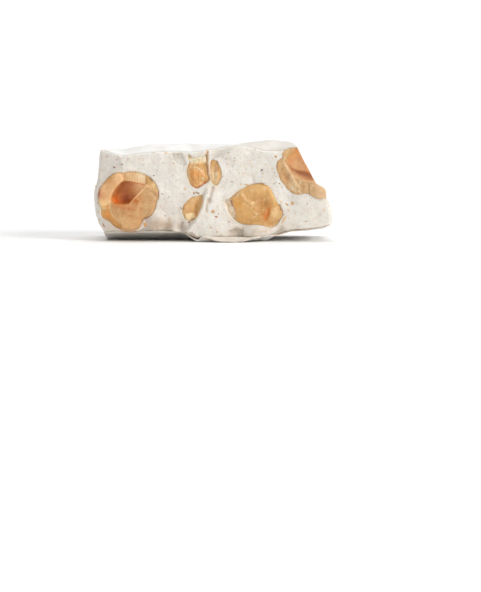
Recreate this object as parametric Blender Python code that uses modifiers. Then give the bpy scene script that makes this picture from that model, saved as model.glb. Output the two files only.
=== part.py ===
"""Hazelnut nougat slice: a broken block of white nougat between two edible wafer sheets, with whole and
broken hazelnut kernels set in it. Lengths are in millimetres up to the last step, which makes metres.

+X runs along the broken front face, -Y is the front, +Z is up. The origin is the middle of the footprint."""

import math

import bmesh
import bpy
import numpy as np
from mathutils import Matrix, Vector, noise

MM = 0.001

# ---------------------------------------------------------------- driving sizes, mm
HALF_DEPTH = 15.0  # front face to back face is 30
WAFER = 0.6  # thickness of one edible wafer sheet
GAP = 0.3  # clearance between neighbouring pieces
CENTRE_X = -0.05  # moves the footprint's middle onto the origin
CENTRE_Y = -1.411
CUTS = (22, 9, 9)  # cells of the block along x, y, z

# Side outlines as seen from the front: height, then x
LEFT_Z = (2.9, 4.0, 6.4, 10.0, 12.4, 16.0, 19.6, 22.2)
LEFT_X = (-26.5, -27.2, -27.7, -28.3, -28.3, -27.7, -27.2, -26.9)
RIGHT_Z = (4.4, 7.8, 9.2, 10.7, 12.4, 13.6, 22.9)
RIGHT_X = (28.2, 28.2, 27.7, 26.9, 26.7, 24.7, 20.0)
RIGHT_SLOPE = 0.44  # the right end is a slanted cut: mm outwards for each mm down

# Top outline, and how far the top dips at its front edge: x, then height
TOP_X = (-26.9, -22.4, -18.8, -15.2, -3.2, 5.2, 8.8, 13.6, 18.6, 20.5)
TOP_Z = (22.2, 22.1, 22.8, 23.4, 23.5, 23.4, 23.9, 24.5, 24.0, 23.0)
LIP_X = (-26.9, -24.8, -22.4, -20.8, -17.6, -9.2, -5.6, -1.6, 3.0, 9.7, 14.5, 16.9, 19.8)
LIP_Z = (22.2, 21.5, 20.8, 20.9, 21.4, 21.6, 21.4, 22.1, 22.9, 22.6, 21.8, 22.2, 22.9)
LIP_REACH = 6.0  # how far back the dip runs

# How the underside bows up towards the right end: x, then height
BOW_X = (12.6, 15.6, 18.6, 23.4, 26.8, 28.3)
BOW_Z = (0.0, 1.1, 1.8, 2.5, 3.4, 3.8)

# Kernels: section centre on the face (along the face, height), section radii, turn in the face (degrees),
# distance of the kernel's middle behind the face, and its radius into the block
KERNELS = {
    "nut_front_left": ("front", -20.3, 9.8, 7.25, 7.1, 0.0, 1.6, 6.4),
    "nut_front_mid": ("front", -3.95, 16.8, 2.45, 4.1, 0.0, 0.8, 4.4),
    "nut_front_sliver": ("front", 0.55, 16.7, 1.5, 3.5, 8.0, 0.5, 3.8),
    "nut_front_ledge": ("front", -5.5, 8.0, 3.2, 2.0, 57.0, 0.3, 3.4),
    "nut_front_right": ("front", 9.7, 8.5, 6.9, 5.2, -14.0, 1.2, 6.0),
    "nut_corner": ("front", 22.0, 17.6, 6.9, 6.3, 0.0, 2.6, 6.2),
    "nut_left_1": ("left", 2.6, 13.2, 5.4, 6.1, 10.0, 1.2, 6.0),
    "nut_left_2": ("left", 9.2, 5.9, 3.3, 2.9, 20.0, 0.6, 3.4),
    "nut_left_3": ("left", 10.6, 17.0, 2.0, 2.4, 0.0, 0.4, 2.6),
    "nut_right_1": ("right", 3.2, 11.2, 4.9, 5.6, -12.0, 1.0, 5.4),
    "nut_right_2": ("right", 9.6, 17.0, 2.4, 2.9, 0.0, 0.6, 3.2),
    "nut_right_3": ("right", -5.8, 6.1, 3.1, 1.7, 12.0, 0.3, 2.6),
    "nut_back_1": ("back", -16.6, 12.6, 6.1, 5.7, 0.0, 1.2, 5.6),
    "nut_back_2": ("back", -4.2, 7.2, 4.8, 4.0, 15.0, 0.8, 5.0),
    "nut_back_3": ("back", 4.6, 16.2, 5.2, 3.9, -20.0, 1.0, 5.0),
    "nut_back_4": ("back", 14.4, 8.4, 5.9, 5.2, 0.0, 1.2, 5.8),
    "nut_back_5": ("back", -7.6, 18.2, 2.6, 2.2, 0.0, 0.4, 2.8),
}


def smooth(t):
    """0 below 0, 1 above 1, and an even rise between them."""
    t = np.clip(t, 0.0, 1.0)
    return t * t * (3.0 - 2.0 * t)


def dome(a, b, ca, cb, ra, rb):
    """A round swelling of height 1 about (ca, cb)."""
    return np.exp(-(((a - ca) / ra) ** 2 + ((b - cb) / rb) ** 2))


def front(x, z):
    """y of the broken front face: mostly a gently uneven plane, with a step in the middle and a few lumps."""
    y = -HALF_DEPTH + 0.9 + 0.0 * x
    y = y + 0.5 * np.maximum(0.0, -22.6 - x) + 0.10 * np.maximum(0.0, x - 15.0)
    ledge = np.interp(z, (3.0, 5.4, 8.3, 10.7, 13.1), (-6.1, -4.4, -3.0, -2.5, -1.3))
    step = smooth((x - ledge + 0.6) / 1.2) * np.exp(-((np.maximum(0.0, x - ledge) / 8.0) ** 2))
    y = y - 1.5 * step * (1.0 - smooth((z - 10.0) / 4.5))
    y = y - 1.1 * dome(x, z, -13.6, 5.2, 2.6, 2.6)
    y = y - 1.0 * dome(x, z, 11.8, 2.6, 3.4, 2.2)
    y = y - 0.8 * dome(x, z, -0.6, 2.8, 4.5, 3.0)
    y = y - 0.9 * dome(x, z, 9.7, 8.5, 5.5, 4.2)
    y = y + 0.9 * dome(x, z, -8.0, 20.0, 2.2, 2.2)
    y = y + 0.7 * dome(x, z, 1.3, 20.8, 2.0, 1.2)
    y = y + 1.1 * dome(x, z, 4.9, 2.4, 2.4, 1.5)
    return y


def back(x, z):
    """y of the broken back face."""
    y = HALF_DEPTH - 0.5 + 0.0 * x
    y = y - 0.10 * np.maximum(0.0, x - 8.0) - 0.06 * np.maximum(0.0, -12.0 - x)
    y = y + 0.8 * dome(x, z, -16.0, 12.0, 7.0, 6.0) + 0.7 * dome(x, z, 14.0, 7.0, 7.0, 6.0)
    y = y - 1.0 * dome(x, z, -2.0, 13.0, 4.0, 3.0) - 0.8 * dome(x, z, 20.0, 17.0, 4.0, 4.0)
    return y


def left(y, z):
    """x of the smooth left side, a side of the bar that the slice was cut from."""
    return np.interp(z, LEFT_Z, LEFT_X) + 0.5 * smooth((y - 4.0) / 11.0)


def right(y, z):
    """x of the slanted cut at the right end, with a kernel standing out of it near the front."""
    plane = 20.0 + RIGHT_SLOPE * (22.9 - np.maximum(z, 4.4))
    outline = np.interp(z, RIGHT_Z, RIGHT_X)
    return plane + (outline - plane) * (1.0 - smooth((y + 11.0) / 7.0))


def top(x, y):
    """Height of the top of the upper wafer sheet."""
    crown = np.interp(x, TOP_X, TOP_Z)
    lip = np.interp(x, LIP_X, LIP_Z)
    return crown + (lip - crown) * (1.0 - smooth((y + HALF_DEPTH - 0.5) / LIP_REACH))


def under(x, y):
    """Height of the underside of the lower wafer sheet: flat in the middle, where it rests, and bowed up at the ends."""
    lift_left = 2.2 * smooth((-x - 3.2) / 5.0) * (1.0 - smooth((y + 13.0) / 12.0))
    lift_right = np.interp(x, BOW_X, BOW_Z) * (1.0 - 0.55 * smooth((y + 13.0) / 20.0))
    return lift_left + lift_right


def to_block(u, v, w, inset=0.0):
    """Points of the unit cube (u, v, w from 0 to 1) carried onto the uneven block of nougat."""
    x, y, z = -28.0 + 56.0 * u, -15.0 + 30.0 * v, 23.0 * w
    for _ in range(5):
        low, high = under(x, y) + WAFER + GAP, top(x, y) - WAFER - GAP
        z = low + (high - low) * w
        x = left(y, z) + (right(y, z) - left(y, z)) * u
        y = front(x, z) + (back(x, z) - front(x, z)) * v
    return x, y, z


# ---------------------------------------------------------------- scene helpers
for old in list(bpy.data.objects):
    bpy.data.objects.remove(old, do_unlink=True)


def collection(name):
    made = bpy.data.collections.new(name)
    bpy.context.scene.collection.children.link(made)
    return made


PARTS = collection("nougat_slice")
GUIDES = collection("cutters")


def material(name, colour, roughness):
    made = bpy.data.materials.new(name)
    made.use_nodes = True
    shader = made.node_tree.nodes["Principled BSDF"]
    shader.inputs["Base Color"].default_value = (*colour, 1.0)
    shader.inputs["Roughness"].default_value = roughness
    shader.inputs["Metallic"].default_value = 0.0
    return made


NOUGAT = material("nougat", (0.83, 0.80, 0.74), 0.62)
SHEET = material("wafer_sheet", (0.90, 0.88, 0.84), 0.70)
KERNEL = material("hazelnut", (0.68, 0.45, 0.24), 0.42)


def place(obj, where, look=None):
    for holder in list(obj.users_collection):
        holder.objects.unlink(obj)
    where.objects.link(obj)
    if look:
        obj.data.materials.clear()
        obj.data.materials.append(look)
    if where is GUIDES:
        obj.hide_render = True
        obj.display_type = "WIRE"
    return obj


def move_points(obj, points):
    """Sets the mesh's vertices to these points, given in mm, and centres the footprint on the origin."""
    points = np.asarray(points, float) - np.array([CENTRE_X, CENTRE_Y, 0.0])
    obj.data.vertices.foreach_set("co", (points * MM).astype(np.float32).ravel())
    obj.data.update()


def points_of(obj):
    co = np.empty(len(obj.data.vertices) * 3, np.float32)
    obj.data.vertices.foreach_get("co", co)
    return co.reshape(-1, 3).astype(float)


# ---------------------------------------------------------------- the block of nougat
def block(name, where, look=None):
    """A cube cut into cells and carried onto the uneven block."""
    bpy.ops.mesh.primitive_cube_add(size=1.0, location=(0.0, 0.0, 0.0))
    obj = bpy.context.active_object
    obj.name = obj.data.name = name
    cage = bmesh.new()
    cage.from_mesh(obj.data)
    for axis, cells in enumerate(CUTS):
        normal = Vector([float(i == axis) for i in range(3)])
        for i in range(1, cells):
            every = cage.verts[:] + cage.edges[:] + cage.faces[:]
            bmesh.ops.bisect_plane(cage, geom=every, plane_co=normal * (i / cells - 0.5), plane_no=normal, dist=1e-6)
    cage.to_mesh(obj.data)
    cage.free()
    u, v, w = (points_of(obj) + 0.5).T
    move_points(obj, np.stack(to_block(u, v, w), axis=1))
    return place(obj, where, look)


# ---------------------------------------------------------------- kernels
def facing(side, along, height):
    """The middle of a kernel's section on its face, the outward normal there, and the two directions in the face."""
    a, b = np.array([along]), np.array([height])
    if side == "front":
        return Vector((along, float(front(a, b)[0]), height)), Vector((0, -1, 0)), Vector((1, 0, 0))
    if side == "back":
        return Vector((along, float(back(a, b)[0]), height)), Vector((0, 1, 0)), Vector((-1, 0, 0))
    if side == "left":
        return Vector((float(left(a, b)[0]), along, height)), Vector((-1, 0, 0)), Vector((0, -1, 0))
    lean = math.atan(RIGHT_SLOPE)
    x = 20.0 + RIGHT_SLOPE * (22.9 - height)
    return Vector((x, along, height)), Vector((math.cos(lean), 0, math.sin(lean))), Vector((0, 1, 0))


def kernel(name, side, along, height, ra, rb, turn, behind, deep, where, grow=0.0, look=None):
    """A hazelnut kernel: a ball with a blunt tip and a flatter base, sized so that the face cuts the stated section."""
    big = max(ra, rb) > 4.5
    bpy.ops.mesh.primitive_uv_sphere_add(segments=14 if big else 10, ring_count=9 if big else 7, radius=1.0)
    obj = bpy.context.active_object
    obj.name = obj.data.name = name
    middle, normal, across = facing(side, along, height)
    up = normal.cross(across)
    spin = math.radians(turn)
    first = across * math.cos(spin) + up * math.sin(spin)
    second = normal.cross(first)
    share = math.sqrt(1.0 - (behind / deep) ** 2)
    seed = 0.37 * (along + 60.0) + 1.9 * height  # the same for a kernel and its pocket
    unit = points_of(obj)
    made = []
    for p in unit:
        p = Vector(p)
        lump = 1.0 + 0.045 * noise.noise(p * 1.3 + Vector((seed, 0.0, 0.0)))
        tip = 1.0 + 0.05 * p.y**3
        q = first * (p.x * (ra / share * lump * tip + grow))
        q += second * (p.y * (rb / share * lump + grow))
        q += normal * (p.z * (deep * lump + grow))
        made.append(middle - normal * behind + q)
    move_points(obj, made)
    return place(obj, where, look)


def boolean(obj, operation, other=None, others=None):
    step = obj.modifiers.new(operation.lower(), "BOOLEAN")
    step.operation = operation
    step.solver = "EXACT"
    if others is not None:
        step.operand_type = "COLLECTION"
        step.collection = others
    else:
        step.object = other
    return step


def ball(name, middle, radii, where):
    """A round hollow, cut out of a broken kernel."""
    bpy.ops.mesh.primitive_uv_sphere_add(segments=12, ring_count=8, radius=1.0)
    obj = bpy.context.active_object
    obj.name = obj.data.name = name
    move_points(obj, points_of(obj) * np.array(radii) + np.array(middle))
    return place(obj, where)


whole = block("whole_block", GUIDES)
nougat = block("nougat", PARTS, NOUGAT)
nougat.data.shade_smooth()
nougat.data.set_sharp_from_angle(angle=math.radians(40))

for name, shape in KERNELS.items():
    nut = kernel(name, *shape, where=PARTS, look=KERNEL)
    nut.data.shade_smooth()
    boolean(nut, "INTERSECT", whole)
    pocket = kernel(name + "_pocket", *shape, where=GUIDES, grow=GAP)
    boolean(nougat, "DIFFERENCE", pocket)

# The kernel at the front left broke open, and shows the hollow in its middle. The one at the corner did too.
hollow = ball("hollow_front_left", (-20.6, -14.4, 11.6), (4.3, 3.2, 2.9), GUIDES)
boolean(bpy.data.objects["nut_front_left"], "DIFFERENCE", hollow)
hollow = ball("hollow_corner", (20.4, -14.6, 18.2), (2.4, 1.9, 3.9), GUIDES)
boolean(bpy.data.objects["nut_corner"], "DIFFERENCE", hollow)


# ---------------------------------------------------------------- wafer sheets
def wafer(name, height, side, look):
    """A thin sheet that follows the top or the underside, with slightly ragged edges."""
    bpy.ops.mesh.primitive_grid_add(x_subdivisions=CUTS[0], y_subdivisions=CUTS[1], size=1.0)
    obj = bpy.context.active_object
    obj.name = obj.data.name = name
    u, v, _ = (points_of(obj) + 0.5).T
    w = 1.0 if side > 0 else 0.0
    x, y, z = to_block(u, v, np.full_like(u, w))
    ragged = np.array([noise.noise(Vector((a * 0.35, b * 0.35, side * 4.0))) for a, b in zip(x, y)])
    edge = 0.35 + 0.5 * ragged
    x = x - np.sign(u - 0.5) * (np.abs(u - 0.5) > 0.499) * edge
    y = y - np.sign(v - 0.5) * (np.abs(v - 0.5) > 0.499) * edge
    if side < 0:  # a tongue of the lower sheet stands out under the front face
        tongue = smooth((x + 4.8) / 4.0) * (1.0 - smooth((x - 8.5) / 5.0))
        y = y - 3.0 * tongue * (v < 0.001) - 0.6 * tongue * (np.abs(v - 1.0 / CUTS[1]) < 0.01)
    z = height(x, y)
    move_points(obj, np.stack([x, y, z], axis=1))
    shell = obj.modifiers.new("thickness", "SOLIDIFY")
    shell.thickness = WAFER * MM
    shell.offset = -1.0 if side > 0 else 1.0
    return place(obj, PARTS, look)


wafer("wafer_top", top, 1, SHEET)
wafer("wafer_bottom", under, -1, SHEET)
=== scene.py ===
import math

import bpy
import numpy as np
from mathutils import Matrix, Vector, geometry


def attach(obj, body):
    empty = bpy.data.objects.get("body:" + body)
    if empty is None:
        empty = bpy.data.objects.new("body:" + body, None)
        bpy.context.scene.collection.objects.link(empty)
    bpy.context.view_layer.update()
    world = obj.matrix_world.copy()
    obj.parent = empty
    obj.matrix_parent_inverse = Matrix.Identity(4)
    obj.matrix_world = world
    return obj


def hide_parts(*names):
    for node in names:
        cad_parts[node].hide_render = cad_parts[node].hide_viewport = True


# A broken slice of white nougat between two wafer sheets, with hazelnut kernels in it. Lengths are in
# millimetres up to the last step. Shapes on the front are laid out in a plan of the front face, whose unit is
# 0.24 mm: p runs to the right and q runs down.

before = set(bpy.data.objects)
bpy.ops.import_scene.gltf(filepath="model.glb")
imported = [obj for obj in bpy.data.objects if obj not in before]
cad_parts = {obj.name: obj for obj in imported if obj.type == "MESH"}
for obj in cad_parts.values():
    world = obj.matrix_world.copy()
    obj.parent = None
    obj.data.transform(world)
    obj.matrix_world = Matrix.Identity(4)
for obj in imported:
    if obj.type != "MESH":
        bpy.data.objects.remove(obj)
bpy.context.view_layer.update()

MM = 0.001
UNIT = 0.24
SHIFT = np.array([0.05, 1.411, 0.0])
SHEET = 0.42  # thickness of a wafer sheet
FACE = -15.0


def px(p):
    return (np.asarray(p, float) - 213.5) * UNIT


def pz(q):
    return (241.5 - np.asarray(q, float)) * UNIT


def plan(x, z):
    return x / UNIT + 213.5, 241.5 - z / UNIT


# ------------------------------------------------------------------------------------------ numbers
def smooth(t):
    t = np.clip(t, 0.0, 1.0)
    return t * t * (3.0 - 2.0 * t)


def bell(a, b, ca, cb, ra, rb, turn=0.0):
    c, s = math.cos(math.radians(turn)), math.sin(math.radians(turn))
    da, db = a - ca, b - cb
    return np.exp(-(((da * c + db * s) / ra) ** 2 + ((-da * s + db * c) / rb) ** 2))


def spline(points, count, closed=True):
    """Catmull-Rom curve through the points."""
    pts = np.asarray(points, float)
    n = len(pts)
    t = np.linspace(0, n if closed else n - 1, count, endpoint=not closed)
    i = np.minimum(np.floor(t).astype(int), n - 1 if closed else n - 2)
    f = (t - i)[:, None]

    def at(k):
        return pts[k % n] if closed else pts[np.clip(k, 0, n - 1)]

    p0, p1, p2, p3 = at(i - 1), at(i), at(i + 1), at(i + 2)
    return 0.5 * (2 * p1 + (p2 - p0) * f + (2 * p0 - 5 * p1 + 4 * p2 - p3) * f**2 + (3 * p1 - p0 - 3 * p2 + p3) * f**3)


def sd(a, b, poly):
    """Signed distance to a closed outline, negative inside."""
    best = np.full(np.shape(a), 1e9)
    inside = np.zeros(np.shape(a), bool)
    n = len(poly)
    for i in range(n):
        (x0, y0), (x1, y1) = poly[i], poly[(i + 1) % n]
        ex, ey = x1 - x0, y1 - y0
        wx, wy = a - x0, b - y0
        t = np.clip((wx * ex + wy * ey) / (ex * ex + ey * ey + 1e-12), 0, 1)
        best = np.minimum(best, (wx - ex * t) ** 2 + (wy - ey * t) ** 2)
        cross = ((y0 <= b) & (y1 > b)) | ((y1 <= b) & (y0 > b))
        inside ^= cross & (a < x0 + (b - y0) * ex / (ey if abs(ey) > 1e-9 else 1e-9))
    best = np.sqrt(best)
    return np.where(inside, -best, best)


def near(a, b, pts):
    """Distance to an open line."""
    best = np.full(np.shape(a), 1e9)
    for (x0, y0), (x1, y1) in zip(pts[:-1], pts[1:]):
        ex, ey = x1 - x0, y1 - y0
        t = np.clip(((a - x0) * ex + (b - y0) * ey) / (ex * ex + ey * ey + 1e-12), 0, 1)
        best = np.minimum(best, (a - x0 - ex * t) ** 2 + (b - y0 - ey * t) ** 2)
    return np.sqrt(best)


_rng = np.random.RandomState(7)
_perm = np.concatenate([_rng.permutation(256)] * 3)
_grad = _rng.normal(size=(256, 3))
_grad /= np.linalg.norm(_grad, axis=1)[:, None]


def perlin(x, y, z, scale=1.0, seed=0.0):
    """Gradient noise of about -1 to 1, whose lumps are scale mm across."""
    x, y, z = np.broadcast_arrays(np.asarray(x, float) / scale + 31.7 + seed * 7.31,
                                  np.asarray(y, float) / scale + 57.3 + seed * 3.17,
                                  np.asarray(z, float) / scale + 11.9 + seed * 5.53)
    xi, yi, zi = np.floor(x).astype(int), np.floor(y).astype(int), np.floor(z).astype(int)
    xf, yf, zf = x - xi, y - yi, z - zi
    u, v, w = (t * t * t * (t * (t * 6 - 15) + 10) for t in (xf, yf, zf))

    def corner(i, j, k):
        g = _grad[_perm[_perm[_perm[(xi + i) & 255] + ((yi + j) & 255)] + ((zi + k) & 255)]]
        return g[..., 0] * (xf - i) + g[..., 1] * (yf - j) + g[..., 2] * (zf - k)

    def mixed(k):
        a = corner(0, 0, k) * (1 - u) + corner(1, 0, k) * u
        b = corner(0, 1, k) * (1 - u) + corner(1, 1, k) * u
        return a * (1 - v) + b * v

    return (mixed(0) * (1 - w) + mixed(1) * w) * 1.6


def fbm(x, y, z, scale, octaves=3, seed=0.0, gain=0.5):
    total, amp = 0.0, 1.0
    for i in range(octaves):
        total = total + amp * perlin(x, y, z, scale / 2.0**i, seed + i)
        amp *= gain
    return total


def cells(x, y, z, scale, seed):
    """Distance to the nearest scattered point, in cells, and that point's own number from 0 to 1."""
    q = np.stack(np.broadcast_arrays(x, y, z), -1) / scale + 100.0 + seed * 13.7
    base = np.floor(q).astype(int)
    best = np.full(q.shape[:-1], 9.0)
    who = np.zeros(q.shape[:-1])
    for i in (-1, 0, 1):
        for j in (-1, 0, 1):
            for k in (-1, 0, 1):
                c = base + np.array([i, j, k])
                h = _perm[_perm[_perm[c[..., 0] & 255] + (c[..., 1] & 255)] + (c[..., 2] & 255)]
                h2, h3, h4 = _perm[h + 17], _perm[h + 91], _perm[h + 203]
                pt = c + np.stack([h, h2, h3], -1) / 255.0 * 0.8 + 0.1
                d = np.sqrt(((q - pt) ** 2).sum(-1))
                take = d < best
                best = np.where(take, d, best)
                who = np.where(take, h4 / 255.0, who)
    return best, who


def lin(*rgb):
    """sRGB 0-255 to linear."""
    c = np.array(rgb, float) / 255.0
    return np.where(c <= 0.04045, c / 12.92, ((c + 0.055) / 1.055) ** 2.4)


def blend(colour, other, amount):
    m = np.clip(amount, 0.0, 1.0)[..., None]
    return colour * (1 - m) + np.asarray(other) * m


# ------------------------------------------------------------------------------------------ the block's sides
LEFT_Z = (2.9, 4.0, 6.4, 10.0, 12.4, 14.6, 19.6, 22.2)
LEFT_X = (-26.9, -27.8, -28.5, -29.0, -28.95, -28.15, -27.65, -27.35)
RIGHT_Z = (4.4, 7.8, 9.2, 10.7, 11.8, 12.7, 13.3, 13.9, 22.9)
RIGHT_X = (28.55, 28.5, 27.9, 27.1, 27.05, 26.8, 25.9, 24.5, 20.0)
TOP_X = (-26.9, -22.4, -18.8, -15.2, -3.2, 5.2, 8.8, 13.6, 18.6, 20.5)
TOP_Z = (22.2, 22.1, 22.8, 23.4, 23.5, 23.4, 23.9, 24.5, 24.0, 23.0)
LIP_X = (-26.9, -24.8, -22.4, -20.8, -17.6, -13.0, -9.2, -5.6, -1.6, 1.0, 3.4, 7.5, 10.0, 12.0, 15.5, 17.2, 19.8)
LIP_Z = (22.3, 21.7, 20.95, 21.0, 21.6, 21.9, 21.95, 21.65, 22.3, 22.7, 23.2, 23.25, 22.8, 22.1, 21.95, 22.5, 23.15)
BOW_X = (12.6, 15.6, 18.6, 23.4, 26.8, 28.3)
BOW_Z = (0.0, 1.5, 2.4, 2.9, 3.5, 3.9)


def soft_interp(x, xs, ys):
    """Piecewise line with its corners rounded off."""
    out = 0.0
    for o in (-0.6, -0.3, 0.0, 0.3, 0.6):
        out = out + np.interp(x + o, xs, ys)
    return out / 5.0


def left(y, z):
    return soft_interp(z, LEFT_Z, LEFT_X) + 0.5 * smooth((y - 4.0) / 11.0) + 0.22 * perlin(0, y, z, 5.0, 21)


def right(y, z):
    plane = 20.0 + 0.44 * (22.9 - np.maximum(z, 4.4))
    outline = soft_interp(z, RIGHT_Z, RIGHT_X)
    rough = 0.16 * perlin(3, y, z, 5.0, 22) * smooth((y + 10.0) / 5.0)
    return plane + (outline - plane) * (1.0 - smooth((y + 11.0) / 7.0)) + rough


def top(x, y):
    crown = soft_interp(x, TOP_X, TOP_Z)
    lip = soft_interp(x, LIP_X, LIP_Z)
    return crown + (lip - crown) * (1.0 - smooth((y + 14.5) / 6.0)) + 0.10 * perlin(x, y, 0, 6.0, 23) * smooth((y + 12.0) / 5.0)


def under(x, y):
    lift_left = 2.2 * smooth((-x - 3.2) / 5.0) * (1.0 - smooth((y + 13.0) / 12.0))
    lift_right = np.interp(x, BOW_X, BOW_Z) * (1.0 - 0.35 * smooth((y + 13.0) / 20.0))
    # under the foot of the swelling only the front edge is raised
    lift_front = np.interp(x, (7.0, 9.0, 11.3, 12.6, 15.6), (0.0, 0.5, 1.1, 1.25, 0.0)) * (1.0 - smooth((y + 14.5) / 4.5))
    return lift_left + lift_right + lift_front


# The nougat's lower edge along the front, in the plan
HEM = ((99, 227.0), (104, 228.8), (110, 229.2), (120, 230.2), (130, 230.6), (139, 230.0), (143, 227.6), (146.5, 226.0), (150, 228.0),
       (153.5, 229.8), (157, 230.5), (160, 229.8), (162.5, 228.1), (165, 227.2), (168.5, 227.2), (171.5, 229.0), (174.5, 230.9),
       (178, 231.4), (187, 231.4), (191.5, 231.8), (195.5, 236.0), (200, 236.5), (212, 236.2), (226, 236.7), (240, 236.2), (252, 236.8),
       (264, 235.9), (270, 233.8), (275.5, 231.4), (278.5, 229.6), (283, 229.0), (288.5, 229.8), (295, 228.0), (303, 228.4), (315, 227.2),
       (323, 225.8), (331, 223.6))


def hem(x, deep):
    """How far the nougat's lower edge lies above its usual place on the bottom sheet, deep mm behind the front."""
    usual = under(x, -14.5 + 0 * x) + 0.40
    return np.clip(pz(soft_hem(x / UNIT + 213.5)) - usual, -0.30, 1.5) * (1.0 - smooth((deep - 0.5) / 1.9))


def soft_hem(p):
    out = 0.0
    for o in (-1.2, -0.6, 0.0, 0.6, 1.2):
        out = out + np.interp(p + o, [h[0] for h in HEM], [h[1] for h in HEM])
    return out / 5.0


# The step in the break, from the top of the face to its foot
STEP = ((208.0, 150.0), (207.0, 186.0), (203.5, 197.0), (201.0, 207.0), (195.0, 219.0), (188.0, 229.0), (180.0, 240.0))


def front(x, z):
    """y of the broken front face without its smallest relief and without the kernels' pockets."""
    p, q = plan(x, z)
    r = 0.75 + 0.0 * x
    # the left facet falls away behind a crease, which is soft below the top of the large kernel
    crease = 119.6 + 0.30 * (np.clip(q, 150, 171) - 155.0)
    width = 1.0 + 6.0 * smooth((q - 167.0) / 8.0)
    t = np.clip((crease - p) / width, -30, 30)
    r = r + 0.100 * width * np.logaddexp(0.0, t)
    r = r + 0.22 * smooth((crease - p) / 2.5) * (1 - smooth((q - 166) / 8.0))
    r = r - 0.30 * bell(p, q, 131.0, 161.0, 8.0, 9.0)
    # the step
    line = np.interp(q, [s[1] for s in STEP], [s[0] for s in STEP])
    across = p - line
    rise = smooth((q - 183.0) / 14.0)
    r = r - 1.45 * smooth((across + 2.2) / 4.5) * rise * np.exp(-((np.maximum(0, across) / 40.0) ** 2))
    r = r + 0.40 * np.exp(-(((across + 3.0) / 3.0) ** 2)) * smooth((q - 192.0) / 8.0)
    r = r - 0.45 * bell(p, q, 216, 226, 13, 9)
    # a flat hollow, deepest along its left edge
    dent = sd(p, q, [(171.8, 153.0), (182.0, 152.6), (186.6, 163.5), (183.0, 166.2), (177.0, 164.2), (173.0, 158.8)])
    r = r + (0.22 + 0.050 * np.clip(188.0 - p, 0, 18)) * smooth((0.7 - dent) / 1.5)
    # folds above and beside the narrow kernel
    r = r + 0.9 * bell(p, q, 217, 155.0, 8, 2.4, -18) - 0.40 * bell(p, q, 215.0, 159.4, 7.0, 1.2, -24)
    r = r + 0.5 * bell(p, q, 224, 150.5, 7, 1.6, -12)
    r = r + 0.4 * bell(p, q, 253, 178, 7, 7) + 0.35 * bell(p, q, 252.5, 180.5, 1.6, 3.2)
    r = r + 0.45 * bell(p, q, 222, 192, 6, 12)
    r = r + 1.35 * smooth((2.0 - sd(p, q, [(228, 237), (229, 231), (236, 228), (242.5, 229.5), (243.5, 237)])) / 3.4)
    r = r + 1.5 * bell(p, q, 181, 228, 3.6, 5.0) - 0.45 * bell(p, q, 187.0, 229, 2.0, 4.0)
    # two grooves beside the step
    g1 = near(p, q, [(212.6, 187.6), (210.6, 194.0), (209.0, 202.0)])
    g2 = near(p, q, [(207.9, 198.6), (206.6, 204.6), (205.9, 210.4)])
    r = r + 0.50 * np.exp(-((g1 / 1.5) ** 2)) + 0.40 * np.exp(-((g2 / 1.2) ** 2))

    def lump(cp, cq, rp, rq, height, turn=0.0, power=1.3):
        c, s = math.cos(math.radians(turn)), math.sin(math.radians(turn))
        dp, dq = p - cp, q - cq
        e = ((dp * c + dq * s) / rp) ** 2 + ((-dp * s + dq * c) / rq) ** 2
        return height * np.clip(1.0 - e, 0.0, 1.0) ** power

    r = r - lump(156.4, 220.0, 11.0, 12.0, 1.20, 0.0, 1.1) - lump(259, 231.5, 18.0, 10.5, 1.35, 4)
    r = r - lump(174, 232, 8.0, 7.0, 0.40) + 0.5 * bell(p, q, 146, 228, 4.0, 4.0) + 0.5 * bell(p, q, 167.0, 227.5, 4.0, 4.5)
    # a dip between the two kernels at the right, and a fold beside the swelling below
    r = r + 0.35 * bell(p, q, 288, 199, 9, 10) + 0.8 * bell(p, q, 280.5, 229.5, 4.0, 4.0)
    r = r - 0.3 * bell(p, q, 300, 214, 16, 10)
    # uneven all over
    r = r + 0.26 * perlin(x, 0, z, 8.0, 1) + 0.13 * perlin(x, 0, z, 3.4, 2)
    return FACE + r


def back(x, z):
    y = 14.5 - 0.10 * np.maximum(0.0, x - 8.0) - 0.06 * np.maximum(0.0, -12.0 - x)
    y = y + 0.6 * bell(x, z, -16.0, 12.0, 7.0, 6.0) + 0.5 * bell(x, z, 14.0, 7.0, 7.0, 6.0)
    y = y - 1.0 * bell(x, z, -2.0, 13.0, 4.0, 3.0) - 0.8 * bell(x, z, 20.0, 17.0, 4.0, 4.0)
    return y + 0.30 * perlin(x, 9, z, 7.0, 3) + 0.16 * perlin(x, 9, z, 3.0, 4)


# ------------------------------------------------------------------------------------------ kernels' outlines
def outline(pq, count=120):
    return np.array([[px(p), pz(q)] for p, q in spline(pq, count)])


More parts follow.
